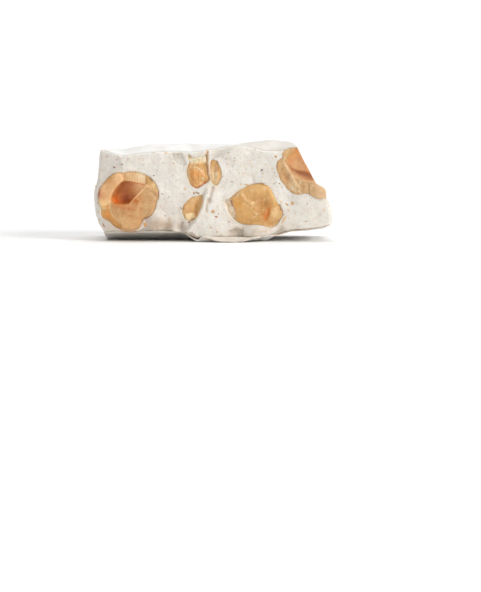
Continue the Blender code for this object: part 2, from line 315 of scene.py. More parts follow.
N1 = outline([(123.1, 172.3), (119.0, 171.8), (114.9, 172.6), (109.2, 176.2), (104.3, 181.1), (99.6, 186.8), (97.3, 192.2), (96.7, 197.2),
              (97.5, 203.1), (99.6, 206.6), (99.4, 211.0), (100.2, 216.6), (103.6, 219.6), (108.4, 221.6), (111.8, 225.0), (116.6, 227.8),
              (120.9, 229.6), (127.2, 230.4), (133.7, 230.2), (137.8, 228.8), (140.4, 225.8), (142.3, 221.9), (144.3, 218.4), (148.4, 217.0),
              (153.2, 212.7), (155.8, 206.4), (156.8, 201.5), (158.8, 197.8), (159.2, 191.7), (157.7, 186.8), (154.8, 181.1), (150.8, 177.0),
              (145.1, 173.7), (140.2, 172.1), (133.7, 170.9), (127.2, 171.0)], 150)
N2 = outline([(188.0, 158.2), (188.9, 162.3), (187.0, 167.2), (187.0, 173.7), (188.6, 180.0), (191.6, 185.2), (197.2, 188.2),
              (202.3, 185.6), (207.6, 182.2), (210.2, 179.0), (209.2, 173.7), (208.3, 166), (208.3, 158), (208.2, 151.0), (205.6, 152.6),
              (202.2, 155.4), (198.0, 155.6), (194.1, 157.0), (190.2, 154.8), (187.8, 153.8)], 160)
N3 = outline([(211.0, 159.4), (213.6, 159.0), (217.3, 160.8), (219.8, 165.5), (221.8, 172.0), (221.3, 178.0), (218.9, 183.0), (216.2, 185.9),
              (213.0, 184.4), (210.6, 181.6), (210.9, 177.0), (210.0, 172), (209.9, 165)])
N4 = outline([(196.6, 195.8), (202.6, 194.8), (203.4, 201.5), (200.6, 209.6), (196.8, 217), (190.5, 220.4), (185.3, 218.6),
              (182.9, 214.3), (182.4, 208.8), (186, 201.5), (191.3, 197.2)])
N5 = outline([(237.4, 192.2), (243, 188.2), (248.8, 185.1), (255.3, 183.1), (263.5, 182.7), (269.2, 186), (272.5, 191.7),
              (275.8, 199), (280.7, 205.2), (283, 211.3), (282.3, 217), (279.4, 221.5), (277.2, 224.6), (272.5, 227.2), (266.8, 226.8),
              (262.5, 224.9), (255.3, 223.6), (247.2, 223.9), (240.7, 222.6), (235.4, 219.0), (231.0, 215.6), (227.9, 210.8), (225.7, 205.2),
              (224.7, 200.6), (225.6, 198.8), (229.2, 198.2), (232.6, 195.5)])
N6_FRONT = [(296.3, 146.0), (295.8, 143.4), (290.4, 145.6), (286.2, 148.6), (283.4, 151.0), (282.0, 153.8), (282.9, 157.2), (279.6, 158.9), (277.3, 161.6), (276.6, 168),
            (278.6, 175.3), (282.0, 181.9), (286.4, 187.6), (291.6, 192.0), (297, 194), (302.7, 193.2), (307.6, 193.0), (313.3, 195.5),
            (319.8, 197.8), (324.4, 196.6), (326.0, 192.4), (325.0, 188.8), (321.6, 185.8), (316.6, 183.5), (311.8, 175.0), (306.6, 165.2), (301.4, 155.4)]
# the room for it in the nougat runs on past the slanted end
N6_ROOM = [(px(p), pz(q)) for p, q in [(360, 146.6), (296.0, 146.6), (290.4, 147.4)] + N6_FRONT[3:19] + [(326.0, 197.6), (360, 197.6)]]

FACES = {
    # name: (surface point from two face coordinates, inward direction)
    "front": (lambda a, b: np.stack([a, front(a, b), b], -1), np.array([0.0, 1.0, 0.0])),
    "back": (lambda a, b: np.stack([a, back(a, b), b], -1), np.array([0.0, -1.0, 0.0])),
    "left": (lambda a, b: np.stack([left(a, b), a, b], -1), np.array([1.0, 0.0, 0.0])),
    "right": (lambda a, b: np.stack([right(a, b), a, b], -1), np.array([-1.0, 0.0, 0.0])),
}


def oval(ca, cb, ra, rb, turn, seed, rough=0.07, count=110):
    """A kernel's outline on a face that the camera doesn't show: an oval with uneven sides."""
    t = np.linspace(0, 2 * math.pi, count, endpoint=False)
    r = 1.0 + rough * perlin(np.cos(t) * 2, np.sin(t) * 2, 0, 1.6, seed) + 0.4 * rough * perlin(np.cos(t) * 2, np.sin(t) * 2, 0, 0.5, seed + 3)
    a, b = ra * r * np.cos(t), rb * r * np.sin(t)
    c, s = math.cos(math.radians(turn)), math.sin(math.radians(turn))
    return np.stack([ca + a * c - b * s, cb + a * s + b * c], -1)


# The hidden faces' kernels: face, centre, radii, turn, kind of break, depth into the block
MORE = {
    "nut_left_1": ("left", 2.6, 13.2, 5.4, 6.1, 10.0, "section", 5.6),
    "nut_left_2": ("left", 9.2, 5.9, 3.3, 2.9, 20.0, "glassy", 3.2),
    "nut_left_3": ("left", 10.6, 17.0, 2.0, 2.4, 0.0, "domed", 2.4),
    "nut_right_1": ("right", 3.2, 11.2, 4.9, 5.6, -12.0, "hollow", 5.0),
    "nut_right_2": ("right", 9.6, 17.0, 2.4, 2.9, 0.0, "glassy", 3.0),
    "nut_right_3": ("right", -5.8, 6.1, 3.1, 1.7, 12.0, "section", 2.4),
    "nut_back_1": ("back", -16.6, 12.6, 6.1, 5.7, 0.0, "hollow", 5.4),
    "nut_back_2": ("back", -4.2, 7.2, 4.8, 4.0, 15.0, "domed", 4.8),
    "nut_back_3": ("back", 4.6, 16.2, 5.2, 3.9, -20.0, "glassy", 4.8),
    "nut_back_4": ("back", 14.4, 8.4, 5.9, 5.2, 0.0, "section", 5.6),
    "nut_back_5": ("back", -7.6, 18.2, 2.6, 2.2, 0.0, "domed", 2.6),
}
OUTLINES = {"front": [N1, N2, N3, N4, N5, outline(N6_FRONT, 140)], "back": [], "left": [], "right": []}
MORE_OUTLINES = {}
for _i, (_name, (_face, _a, _b, _ra, _rb, _turn, _kind, _deep)) in enumerate(MORE.items()):
    _o = oval(_a, _b, _ra, _rb, _turn, 40 + _i * 3.3, 0.05 if _kind in ("section", "hollow") else 0.10)
    OUTLINES[_face].append(_o)
    MORE_OUTLINES[_name] = _o
# the corner kernel also shows on the slanted end, as a half oval
CORNER_END = [(-18.0, 22.6), (-14.0, 22.6), (-11.1, 22.35), (-9.2, 21.8), (-7.4, 20.9), (-6.1, 19.8), (-5.3, 18.7), (-4.9, 17.2),
              (-5.3, 15.6), (-6.1, 14.2), (-7.4, 13.1), (-9.2, 12.1), (-11.1, 11.5), (-14.0, 11.2), (-18.0, 11.2)]
OUTLINES["right"].append(np.array(CORNER_END))

PUSH = {"front": 5.2, "back": 4.4, "left": 4.4, "right": 4.0}


def softly(a, b, width=0.25):
    """The larger of the two, with its corner rounded off."""
    return 0.5 * (a + b + np.sqrt((a - b) ** 2 + width**2)) - 0.5 * width


def corner_room(x, y, z):
    """The corner kernel's room is open to the front and to the end, so the nougat draws back from both."""
    def depth(a, b, line, far):
        return far * (1 - np.exp(-np.maximum(0.0, -(sd(a, b, line) + 0.08 * perlin(a, 0, b, 0.9, 61))) * 2.4 / far))

    gone = depth(x, z, N6_ROOM, PUSH["front"])
    y = np.where(gone > 0, softly(y, front(x, z) + gone), y)
    gone = depth(y, z, CORNER_END, PUSH["right"])
    x = np.where(gone > 0, -softly(-x, gone - right(y, z)), x)
    return x, y


def pocket(face, a, b):
    """How far the nougat draws back behind its face where a kernel sits, except the one at the corner."""
    deep = np.zeros(np.shape(a))
    for line in OUTLINES[face][:{"front": 5, "right": 3}.get(face)]:
        lo, hi = line.min(0) - 1.0, line.max(0) + 1.0
        some = (a > lo[0]) & (a < hi[0]) & (b > lo[1]) & (b < hi[1])
        if not some.any():
            continue
        d = sd(a[some], b[some], line)
        edge = 0.10 * perlin(a[some], 0, b[some], 0.9, 61)
        size = 0.5 * min(hi[0] - lo[0], hi[1] - lo[1]) - 1.0
        far = np.minimum(PUSH[face], size * 1.15)
        draw = far * (1 - np.exp(-np.maximum(0, -(d + edge)) * 2.4 / far))
        lipped = -0.10 * np.exp(-((np.maximum(0, d) / 0.7) ** 2)) * (d > 0)  # nougat swells a little against the nut
        deep[some] = np.where(draw > 0, np.maximum(deep[some], draw), deep[some] + lipped * (deep[some] == 0))
    return deep


# ------------------------------------------------------------------------------------------ mesh helpers
def mesh_from(name, verts, faces, colours=None, extra=None):
    """verts in mm, faces as index arrays (quads may repeat no vertex); makes an object at the origin."""
    me = bpy.data.meshes.new(name)
    v = (np.asarray(verts) + SHIFT) * MM
    me.from_pydata(v.tolist(), [], faces if isinstance(faces, list) else faces.tolist())
    me.update()
    if colours is not None:
        rgba = np.ones((len(v), 4), np.float32)
        rgba[:, :3] = np.clip(colours, 0, 1)
        layer = me.color_attributes.new("tint", "FLOAT_COLOR", "POINT")
        layer.data.foreach_set("color", rgba.ravel())
    for key, values in (extra or {}).items():
        layer = me.attributes.new(key, "FLOAT", "POINT")
        layer.data.foreach_set("value", np.asarray(values, np.float32))
    me.shade_smooth()
    obj = bpy.data.objects.new(name, me)
    bpy.context.scene.collection.objects.link(obj)
    return obj


def grid_faces(rows, cols, wrap, offset=0, flip=False):
    i, j = np.meshgrid(np.arange(rows - 1), np.arange(cols if wrap else cols - 1), indexing="ij")
    k = (j + 1) % cols
    quad = np.stack([i * cols + j, i * cols + k, (i + 1) * cols + k, (i + 1) * cols + j], -1).reshape(-1, 4) + offset
    return quad[:, ::-1] if flip else quad


def grid_normals(P, wrap):
    """Normals of a grid of points, rows by columns."""
    if wrap:
        dj = np.roll(P, -1, 1) - np.roll(P, 1, 1)
    else:
        dj = np.gradient(P, axis=1)
    di = np.gradient(P, axis=0)
    n = np.cross(dj, di)
    return n / (np.linalg.norm(n, axis=-1, keepdims=True) + 1e-12)


# ------------------------------------------------------------------------------------------ nougat
W0, D0 = 56.0, 30.0


def contour(nf, ns, nb, rc=0.9):
    """Points round the block's plan, in mm from the front left corner, with small round corners."""
    def side(n, length):
        t = (np.arange(n) + 0.5) / n
        return t * length

    pts, nrm = [], []
    for k, (n, length) in enumerate(((nf, W0), (ns, D0), (nb, W0), (ns, D0))):
        d = side(n, length)
        phi = np.where(d < rc, 45.0 * (rc - d) / rc, np.where(d > length - rc, -45.0 * (d - (length - rc)) / rc, 0.0))
        phi = np.radians(phi)
        along = np.where(d < rc, rc - rc * np.sin(phi), np.where(d > length - rc, length - rc - rc * np.sin(phi), d))
        inset = np.where(phi != 0, rc * (1 - np.cos(phi)), 0.0)
        # k = 0 front (+x), 1 right (+y), 2 back (-x), 3 left (-y)
        if k == 0:
            xy = np.stack([along, inset], -1); n2 = np.stack([-np.sin(phi), -np.cos(phi)], -1)
        elif k == 1:
            xy = np.stack([W0 - inset, along], -1); n2 = np.stack([np.cos(phi), -np.sin(phi)], -1)
        elif k == 2:
            xy = np.stack([W0 - along, D0 - inset], -1); n2 = np.stack([np.sin(phi), np.cos(phi)], -1)
        else:
            xy = np.stack([inset, D0 - along], -1); n2 = np.stack([-np.cos(phi), np.sin(phi)], -1)
        pts.append(xy); nrm.append(n2)
    return np.concatenate(pts), np.concatenate(nrm)


def place(u, v, w, low_lift=0.40, high_drop=0.38):
    """Unit block coordinates to mm."""
    x, y, z = -28.0 + 56.0 * u, -15.0 + 30.0 * v, 23.0 * w
    for _ in range(6):
        low, high = under(x, y) + low_lift, top(x, y) - high_drop
        if low_lift > 0:
            low = low + hem(x, 30.0 * v)
        z = low + (high - low) * w
        xl, xr = left(y, z), right(y, z)
        x = xl + (xr - xl) * u
        yf, yb = front(x, z), back(x, z)
        y = yf + (yb - yf) * v
    return x, y, z


def build_nougat():
    ring, nrm = contour(292, 112, 196)
    cols = len(ring)
    r_low, r_top = 0.50, 0.42
    total = 21.9
    arc = np.linspace(0, math.pi / 2, 7)
    mid = np.linspace(r_low, total - r_top, int((total - r_low - r_top) / 0.205) + 1)[1:-1]
    hs = np.concatenate([r_low * (1 - np.cos(arc)), mid, total - r_top * (1 - np.cos(arc[::-1]))])
    ins = np.concatenate([r_low * (1 - np.sin(arc)), np.zeros(len(mid)), r_top * (1 - np.sin(arc[::-1]))])
    edge = np.concatenate([np.sin(arc), np.ones(len(mid)), np.sin(arc[::-1])])[:, None]
    rows = len(hs)
    w = np.repeat((hs / total)[:, None], cols, 1)
    xy = ring[None, :, :] - nrm[None, :, :] * ins[:, None, None]
    u, v = xy[..., 0] / W0, xy[..., 1] / D0
    nx = np.repeat(nrm[None, :, 0], rows, 0)
    ny = np.repeat(nrm[None, :, 1], rows, 0)
    x, y, z = place(u, v, w)
    edge = edge + 0 * x
    # the foot hangs unevenly over the bottom sheet
    foot = smooth(1.0 - w * total / 3.0)
    z = z + foot * (0.10 * perlin(x, y, 0, 2.6, 71) + 0.08 * perlin(x, y, 0, 1.1, 72) - 0.06)
    z = np.maximum(z, 0.12)
    # pockets for the kernels
    dF = pocket("front", x, z) * np.clip(-ny, 0, 1)
    dB = pocket("back", x, z) * np.clip(ny, 0, 1)
    dL = pocket("left", y, z) * np.clip(-nx, 0, 1)
    dR = pocket("right", y, z) * np.clip(nx, 0, 1)
    P = np.stack([x + dL - dR, y + dF - dB, z], -1)
    zone = (x > 12.0) & (y < 0.0) & (z > 9.0)
    moved = np.zeros(x.shape)
    xc, yc = corner_room(x[zone], y[zone], z[zone])
    moved[zone] = np.hypot(xc - x[zone], yc - y[zone])
    P[zone, 0], P[zone, 1] = xc, yc
    N = grid_normals(P, True)
    # small relief along the normal
    X, Y, Z = P[..., 0], P[..., 1], P[..., 2]
    relief = 0.080 * fbm(X, Y, Z, 2.3, 3, 5) + 0.050 * perlin(X, Y, Z, 0.75, 9)
    fold = np.abs(perlin(X, Y * 1.0, Z * 0.8, 4.2, 12))
    relief = relief - 0.10 * np.exp(-((fold / 0.06) ** 2)) * smooth(perlin(X, Y, Z, 6.0, 13) * 2.0)
    d1, k1 = cells(X, Y, Z, 1.15, 1)
    pits = 0.13 * smooth((0.12 + 0.16 * k1**2 - d1) / 0.12) * (k1 > 0.45)
    d2, k2 = cells(X, Y, Z, 3.3, 2)
    pits = pits + 0.30 * smooth((0.105 - d2) / 0.06) * (k2 > 0.72)
    keep = 1 - smooth((dF + dB + dL + dR + moved) / 0.3)
    relief = (relief - pits * keep) * (0.3 + 0.7 * edge) * (1 - smooth((moved - 0.5) / 1.0))
    P = P + N * relief[..., None]
    P[..., 2] = np.maximum(P[..., 2], 0.1)

    # colour: chalky off-white, warmer and duller next to the kernels, and duller in the pits, where that darkening is
    # painted shade
    base = lin(232, 228, 221) + 0 * P
    warm = np.zeros(x.shape)
    for face, (a, b, m) in {"front": (x, z, -ny), "back": (x, z, ny), "left": (y, z, -nx), "right": (y, z, nx)}.items():
        for line in OUTLINES[face]:
            lo, hi = line.min(0) - 2.0, line.max(0) + 2.0
            some = (a > lo[0]) & (a < hi[0]) & (b > lo[1]) & (b < hi[1]) & (m > 0.3)
            if some.any():
                warm[some] = np.maximum(warm[some], np.exp(-np.maximum(0, sd(a[some], b[some], line)) / 0.45))
    col = blend(base, lin(228, 208, 180), 0.50 * warm * smooth(perlin(X, Y, Z, 2.2, 33) + 0.6))
    mott = fbm(X, Y, Z, 3.0, 3, 30)
    col = blend(col, lin(218, 210, 199), 0.40 * smooth(mott))
    col = blend(col, lin(246, 244, 238), 0.5 * smooth(-mott))
    fine = fbm(X, Y, Z, 0.9, 2, 34)
    col = blend(col, lin(221, 208, 192), 0.34 * smooth(fine - 0.05))
    tiny = perlin(X, Y, Z, 0.42, 36)
    col = blend(col, lin(214, 204, 192), 0.30 * smooth(1.6 * tiny - 0.1))
    # painted shade: the pits are darkened
    col = blend(col, lin(205, 184, 158), 0.55 * smooth(pits / 0.16))
    on_front = np.clip(-ny, 0, 1)
    p, q = plan(x, z)
    # painted shade in the two grooves beside the step
    for line, wide, strength in (([(212.8, 187.0), (210.8, 194.0), (209.2, 202.0)], 1.5, 0.55), ([(208.0, 198.6), (206.8, 204.6), (206.1, 210.4)], 1.2, 0.55)):
        col = blend(col, lin(200, 178, 156), strength * on_front * np.exp(-((near(p, q, line) / wide) ** 2)))
    crack = near(p, q, [(207.6, 150.5), (207.8, 158.0), (208.3, 166.0), (209.6, 173.5), (210.4, 179.0)])
    col = blend(col, lin(216, 166, 106), 0.85 * on_front * np.exp(-((crack / 1.05) ** 2)))
    # patches of painted shade, greyer and warmer, on the dents, the notch, the folds above the narrow kernel, the left
    # facet, the recesses and the undersides of the lumps, and a warm band of painted shade and bounced light along the
    # foot
    painted_shade_patches = [(0.70, 165, 223.5, 14, 6, (200, 181, 162)), (0.72, 157, 223.5, 9, 7, (194, 172, 150)), (0.38, 308, 212, 15, 8, (216, 207, 195)), (0.45, 167, 211, 12, 8, (218, 206, 196)), (0.60, 168, 225.5, 5, 3.5, (182, 156, 130)),
           (0.55, 261, 231, 15, 5, (214, 196, 178)), (0.50, 281, 229, 4, 4, (200, 176, 154)),
           (0.40, 216, 157, 12, 5, (214, 206, 198)), (0.15, 178, 158, 8, 7, (216, 209, 201)), (0.45, 235, 232, 9, 5, (206, 182, 152)),
           (0.5, 181, 226, 4, 6, (196, 180, 162)), (0.35, 148, 227, 6, 4, (206, 176, 148)), (0.3, 110, 165, 12, 16, (214, 202, 192)),
           (0.35, 112, 228, 12, 4, (216, 192, 172)), (0.30, 288, 228, 18, 4, (216, 200, 180)), (0.35, 158, 231, 14, 4, (204, 184, 164))]
    for k, cp, cq, rp, rq, c in painted_shade_patches:
        col = blend(col, lin(*c), k * on_front * bell(p, q, cp, cq, rp, rq))
    # painted shade along the foot of the break between the two lumps, where the nougat overhangs the bottom sheet
    col = blend(col, lin(204, 178, 148), 0.55 * on_front * (1 - smooth(w * total / 0.55)) * smooth((p - 186) / 8) * (1 - smooth((p - 258) / 10)))
    # nut dust ground into the break
    d3, k3 = cells(X, Y, Z, 1.15, 6)
    dust = smooth((0.18 - d3) / 0.07) * (k3 > 0.64)
    shade = np.where((k3 > 0.93)[..., None], lin(150, 98, 62), lin(210, 176, 134))
    col = blend(col, shade, 0.7 * dust)
    verts = P.reshape(-1, 3)
    colours = col.reshape(-1, 3)

    faces = grid_faces(rows, cols, True)
    lists = [tuple(f) for f in faces.tolist()]
    # caps under the wafer sheets: sparse points joined to the rim
    for which, row in (("low", 0), ("high", rows - 1)):
        us, vs = u[row], v[row]
        poly = [Vector((us[i] * W0, vs[i] * D0)) for i in range(cols)]
        inner = [Vector((a, b)) for a in np.arange(2.0, W0 - 1.5, 1.5) for b in np.arange(2.0, D0 - 1.5, 1.5)]
        got = geometry.delaunay_2d_cdt(poly + inner, [(i, (i + 1) % cols) for i in range(cols)], [], 1, 1e-5)
        pts2 = np.array([[p2.x, p2.y] for p2 in got[0]])
        orig = got[3]
        index = []
        new_u, new_v = [], []
        for k, src in enumerate(orig):
            rim_ids = [i for i in src if i < cols]
            if rim_ids:
                index.append(row * cols + rim_ids[0])
            else:
                index.append(len(verts) + len(new_u))
                new_u.append(pts2[k, 0] / W0)
                new_v.append(pts2[k, 1] / D0)
        nu, nv = np.array(new_u), np.array(new_v)
        cx, cy, cz = place(nu, nv, np.full(nu.shape, 0.0 if which == "low" else 1.0))
        verts = np.concatenate([verts, np.stack([cx, cy, cz], -1)])
        colours = np.concatenate([colours, np.repeat(lin(236, 229, 217)[None], len(nu), 0)])
        for f in got[2]:
            tri = [index[i] for i in f]
            if len(set(tri)) < 3:
                continue
            a, b, c = (pts2[i] for i in f[:3])
            area = (b[0] - a[0]) * (c[1] - a[1]) - (b[1] - a[1]) * (c[0] - a[0])
            if (area > 0) != (which == "high"):
                tri = tri[::-1]
            lists.append(tuple(tri))
    return mesh_from("nougat_body", verts, lists, colours)


# ------------------------------------------------------------------------------------------ kernels
def star(line, centre, theta):
    """Radius of an outline about its centre for each angle, a little smoothed."""
    d = line - centre
    ang = np.arctan2(d[:, 1], d[:, 0])
    rad = np.hypot(d[:, 0], d[:, 1])
    order = np.argsort(ang)
    ang, rad = ang[order], rad[order]
    rad = 0.25 * np.roll(rad, 1) + 0.5 * rad + 0.25 * np.roll(rad, -1)
    return np.interp(theta, np.concatenate([ang - 2 * math.pi, ang, ang + 2 * math.pi]), np.concatenate([rad, rad, rad]))


def build_nut(name, face, line, centre, height, paint, deep, nseg=240, nring=44, margin=0.45, inward_round=0.5, cut=None, wall=None, wall_paint=None, body_rows=12, lid=None, shade=(1, 1, 1)):
    """A kernel: its broken face is a height map (mm behind the nougat's face) over the outline, and behind it the
    kernel's round body closes it. height and paint get the face coordinates and the distance inside the outline."""
    point, inward = FACES[face]
    theta = np.linspace(-math.pi, math.pi, nseg, endpoint=False)
    rad = star(line, centre, theta)
    grow = margin if cut is None else margin * (1 - cut(theta))
    rim = rad + grow
    t = np.linspace(0, 1, nring + 1)[1:]
    t = t**0.9
    A = centre[0] + np.outer(t, rim * np.cos(theta))
    B = centre[1] + np.outer(t, rim * np.sin(theta))
    d = sd(A, B, line)
    h = height(A, B, d)
    out = np.maximum(0.0, d + 0.25)
    roll = inward_round * (out / 0.5) ** 2
    if cut is not None:
        roll = roll * (1 - cut(theta)[None, :])
    P = point(A, B) + inward * (h + roll)[..., None]
    if lid is not None:
        P[..., 2] = np.minimum(P[..., 2], top(P[..., 0], P[..., 1]) - lid)
    c = np.array([[centre[0]]]), np.array([[centre[1]]])
    hc = height(c[0], c[1], sd(c[0], c[1], line))
    mid = (point(c[0], c[1]) + inward * hc[..., None]).reshape(1, 3)
    col = paint(A, B, d, h)
    col_mid = paint(c[0], c[1], sd(c[0], c[1], line), hc).reshape(1, 3)
    # the body behind
    rows = []
    k = np.linspace(0, 1, body_rows + 1)[1:]
    edge3 = P[-1]
    centre3 = mid[0] + inward * 0.0
    base_in = (edge3 - centre3) @ inward
    for s in k:
        ang = s * math.pi / 2
        shrink = math.cos(ang)
        if wall is None:
            ring_in = base_in[:, None] * (1 - s) + (deep * math.sin(ang)) * np.ones((nseg, 1)) + 0.0
            flat = edge3 - centre3 - ((edge3 - centre3) @ inward)[:, None] * inward
            rows.append(centre3 + flat * max(shrink, 0.02) + inward * ring_in)
        else:
            rows.append(wall(theta, s, edge3))
    R = np.stack(rows)
    allp = np.concatenate([mid, P.reshape(-1, 3), R.reshape(-1, 3), R[-1].mean(0, keepdims=True)])
    nfront, nback = nring, body_rows
    faces = [(0, 1 + j, 1 + (j + 1) % nseg) for j in range(nseg)]
    grid = grid_faces(nfront + nback, nseg, True, 1, flip=True)
    last = 1 + (nfront + nback - 1) * nseg
    tip = len(allp) - 1
    quads = [tuple(f) for f in grid.tolist()]
    faces = faces + quads + [(tip, last + (j + 1) % nseg, last + j) for j in range(nseg)]
    deep_col = np.repeat(lin(214, 170, 118)[None], len(allp) - 1 - P.shape[0] * P.shape[1], 0)
    if wall_paint is not None:
        deep_col[:nback * nseg] = wall_paint(R).reshape(-1, 3)
    colours = np.concatenate([col_mid, col.reshape(-1, 3), deep_col]) * np.array(shade)
    obj = mesh_from(name, allp, faces, colours)
    return obj


def recalc(obj):
    import bmesh
    bm = bmesh.new()
    bm.from_mesh(obj.data)
    bmesh.ops.recalc_face_normals(bm, faces=bm.faces)
    if bm.calc_volume(signed=True) < 0:
        bmesh.ops.reverse_faces(bm, faces=bm.faces)
    bm.to_mesh(obj.data)
    bm.free()
    obj.data.shade_smooth()


def P_(pq):
    return [(float(px(p)), float(pz(q))) for p, q in pq]


def mask(a, b, pq, soft):
    """1 inside a region of the front plan, fading over soft mm."""
    return smooth((soft * 0.5 - sd(a, b, P_(pq))) / soft)


# --- the big kernel at the left
CAVITY = [(123.4, 180.6), (128, 180.6), (134, 181.6), (140, 182.4), (146.4, 184.4), (141.5, 189.8), (136.5, 195.0), (132.5, 199.4), (128.8, 203.6),
          (122, 204.8), (114, 204.0), (111.2, 200.8), (110.9, 197.4), (113.0, 192.0), (116.6, 186.6), (120.4, 182.6)]
LOWER_LEFT = [(98, 206.6), (104.5, 205.8), (109.2, 203.6), (109.6, 209), (111.4, 214), (115.6, 219.2), (120.9, 223.2), (122.6, 231), (112, 229), (98, 219)]
LOBE_LEFT = [(122.6, 168), (123.6, 180.0), (119.6, 183.4), (116.0, 187.4), (112.4, 193.4), (110.6, 199.0), (109.8, 203.4), (108.2, 206.4), (96, 208.5), (92, 196), (100, 176), (112, 168)]
TOP_WALL = [(123.2, 168), (141, 169), (146.0, 172.0), (146.2, 184.2), (134, 181.4), (123.4, 180.4)]
CHIP = [(145.8, 171), (156, 175), (163, 186), (162, 193.4), (158, 192.6), (152.4, 189.4), (148.4, 186.0), (145.6, 184.0)]
RIM_RIGHT = [(146.6, 184.6), (141.9, 190.1), (136.9, 195.3), (132.9, 199.8), (129.4, 203.8)]
RIM_FOOT = [(129.0, 204.2), (122, 205.6), (114.5, 204.8), (111.0, 201.2)]
SEAM = [(109.0, 200.8), (109.2, 204.4), (109.6, 209.0), (111.2, 213.8), (115.6, 219.2), (121.2, 223.6)]


def cavity_depth(a, b, p, q):
    s = sd(a, b, P_(CAVITY))
    wide = 0.30 + 0.50 * smooth((122.0 - p) / 5.0) * smooth((204.0 - q) / 4.0) + 0.40 * smooth((q - 200) / 4.0) * smooth((126 - p) / 6.0)
    return s, smooth((-s + 0.22 * wide) / wide)


def h_n1(a, b, d):
    p, q = plan(a, b)
    h = -0.20 + 0 * a
    lobe = mask(a, b, LOBE_LEFT, 1.0)
    h = h - lobe * (0.85 * np.sqrt(np.clip(1.08 - ((p - 107) / 17.0) ** 2 - ((q - 190) / 25.0) ** 2, 0, 1)) - 0.05)
    wall = mask(a, b, TOP_WALL, 0.30)
    h = h + wall * (0.30 + 0.035 * np.sin(p * 2.35 + 0.5 * np.sin(q)) + 0.022 * (q - 171) + 0.04 * perlin(a, 0, b, 0.6, 70))
    chip = mask(a, b, CHIP, 0.35) * (1 - smooth((q - 184.0 - 0.35 * (p - 146.0)) / 6.0))
    h = h + chip * (0.22 + 0.13 * perlin(a, 0, b, 0.9, 71) + 0.2 * bell(p, q, 151, 179, 3, 3))
    low = mask(a, b, LOWER_LEFT, 0.35)
    big = smooth((q - 186) / 10.0) * (1 - low) * (1 - lobe)
    h = h - big * 1.05 * np.sqrt(np.clip(1 - ((p - 133) / 28.0) ** 2 - ((q - 212) / 26.0) ** 2, 0, 1))
    h = h + 0.10 * bell(p, q, 146, 213, 5, 4) * big + 0.12 * bell(p, q, 126, 214, 6, 4) * big + 0.10 * bell(p, q, 141, 220, 3, 3) * big
    h = h + low * (0.55 + 0.14 * perlin(a, 0, b, 1.4, 72))
    s, inside = cavity_depth(a, b, p, q)
    # the hollow gets deeper away from its upper right corner
    fall = np.clip(((146.0 - p) * 24.0 + (q - 184.5) * 15.5) / (24.0**2 + 15.5**2), 0, 1)
    h = h + inside * (0.22 + 1.75 * smooth(fall) + 0.8 * bell(p, q, 124.5, 199.0, 7.5, 5.5) * smooth(np.maximum(0.0, -s) / 0.8))
    h = h - 0.13 * np.exp(-((near(a, b, P_(RIM_RIGHT)) / 0.22) ** 2))
    h = h - 0.16 * np.exp(-((near(a, b, P_(SEAM)) / 0.20) ** 2))
    # fine fibres that run out from the hollow
    run = np.arctan2(q - 200.0, p - 128.0)
    h = h + 0.025 * np.sin(run * 46.0 + 2.0 * perlin(a, 0, b, 1.0, 76)) * big * smooth((np.hypot(p - 128, q - 200) - 6) / 6)
    h = h + 0.045 * fbm(a, 0, b, 1.1, 3, 73) + 0.02 * perlin(a, 0, b, 0.35, 77)
    # the break rounds off towards the nougat
    rim = smooth((0.12 - d) / 0.75)
    return np.where(h < 0.12, h * rim + 0.12 * (1 - rim), h)


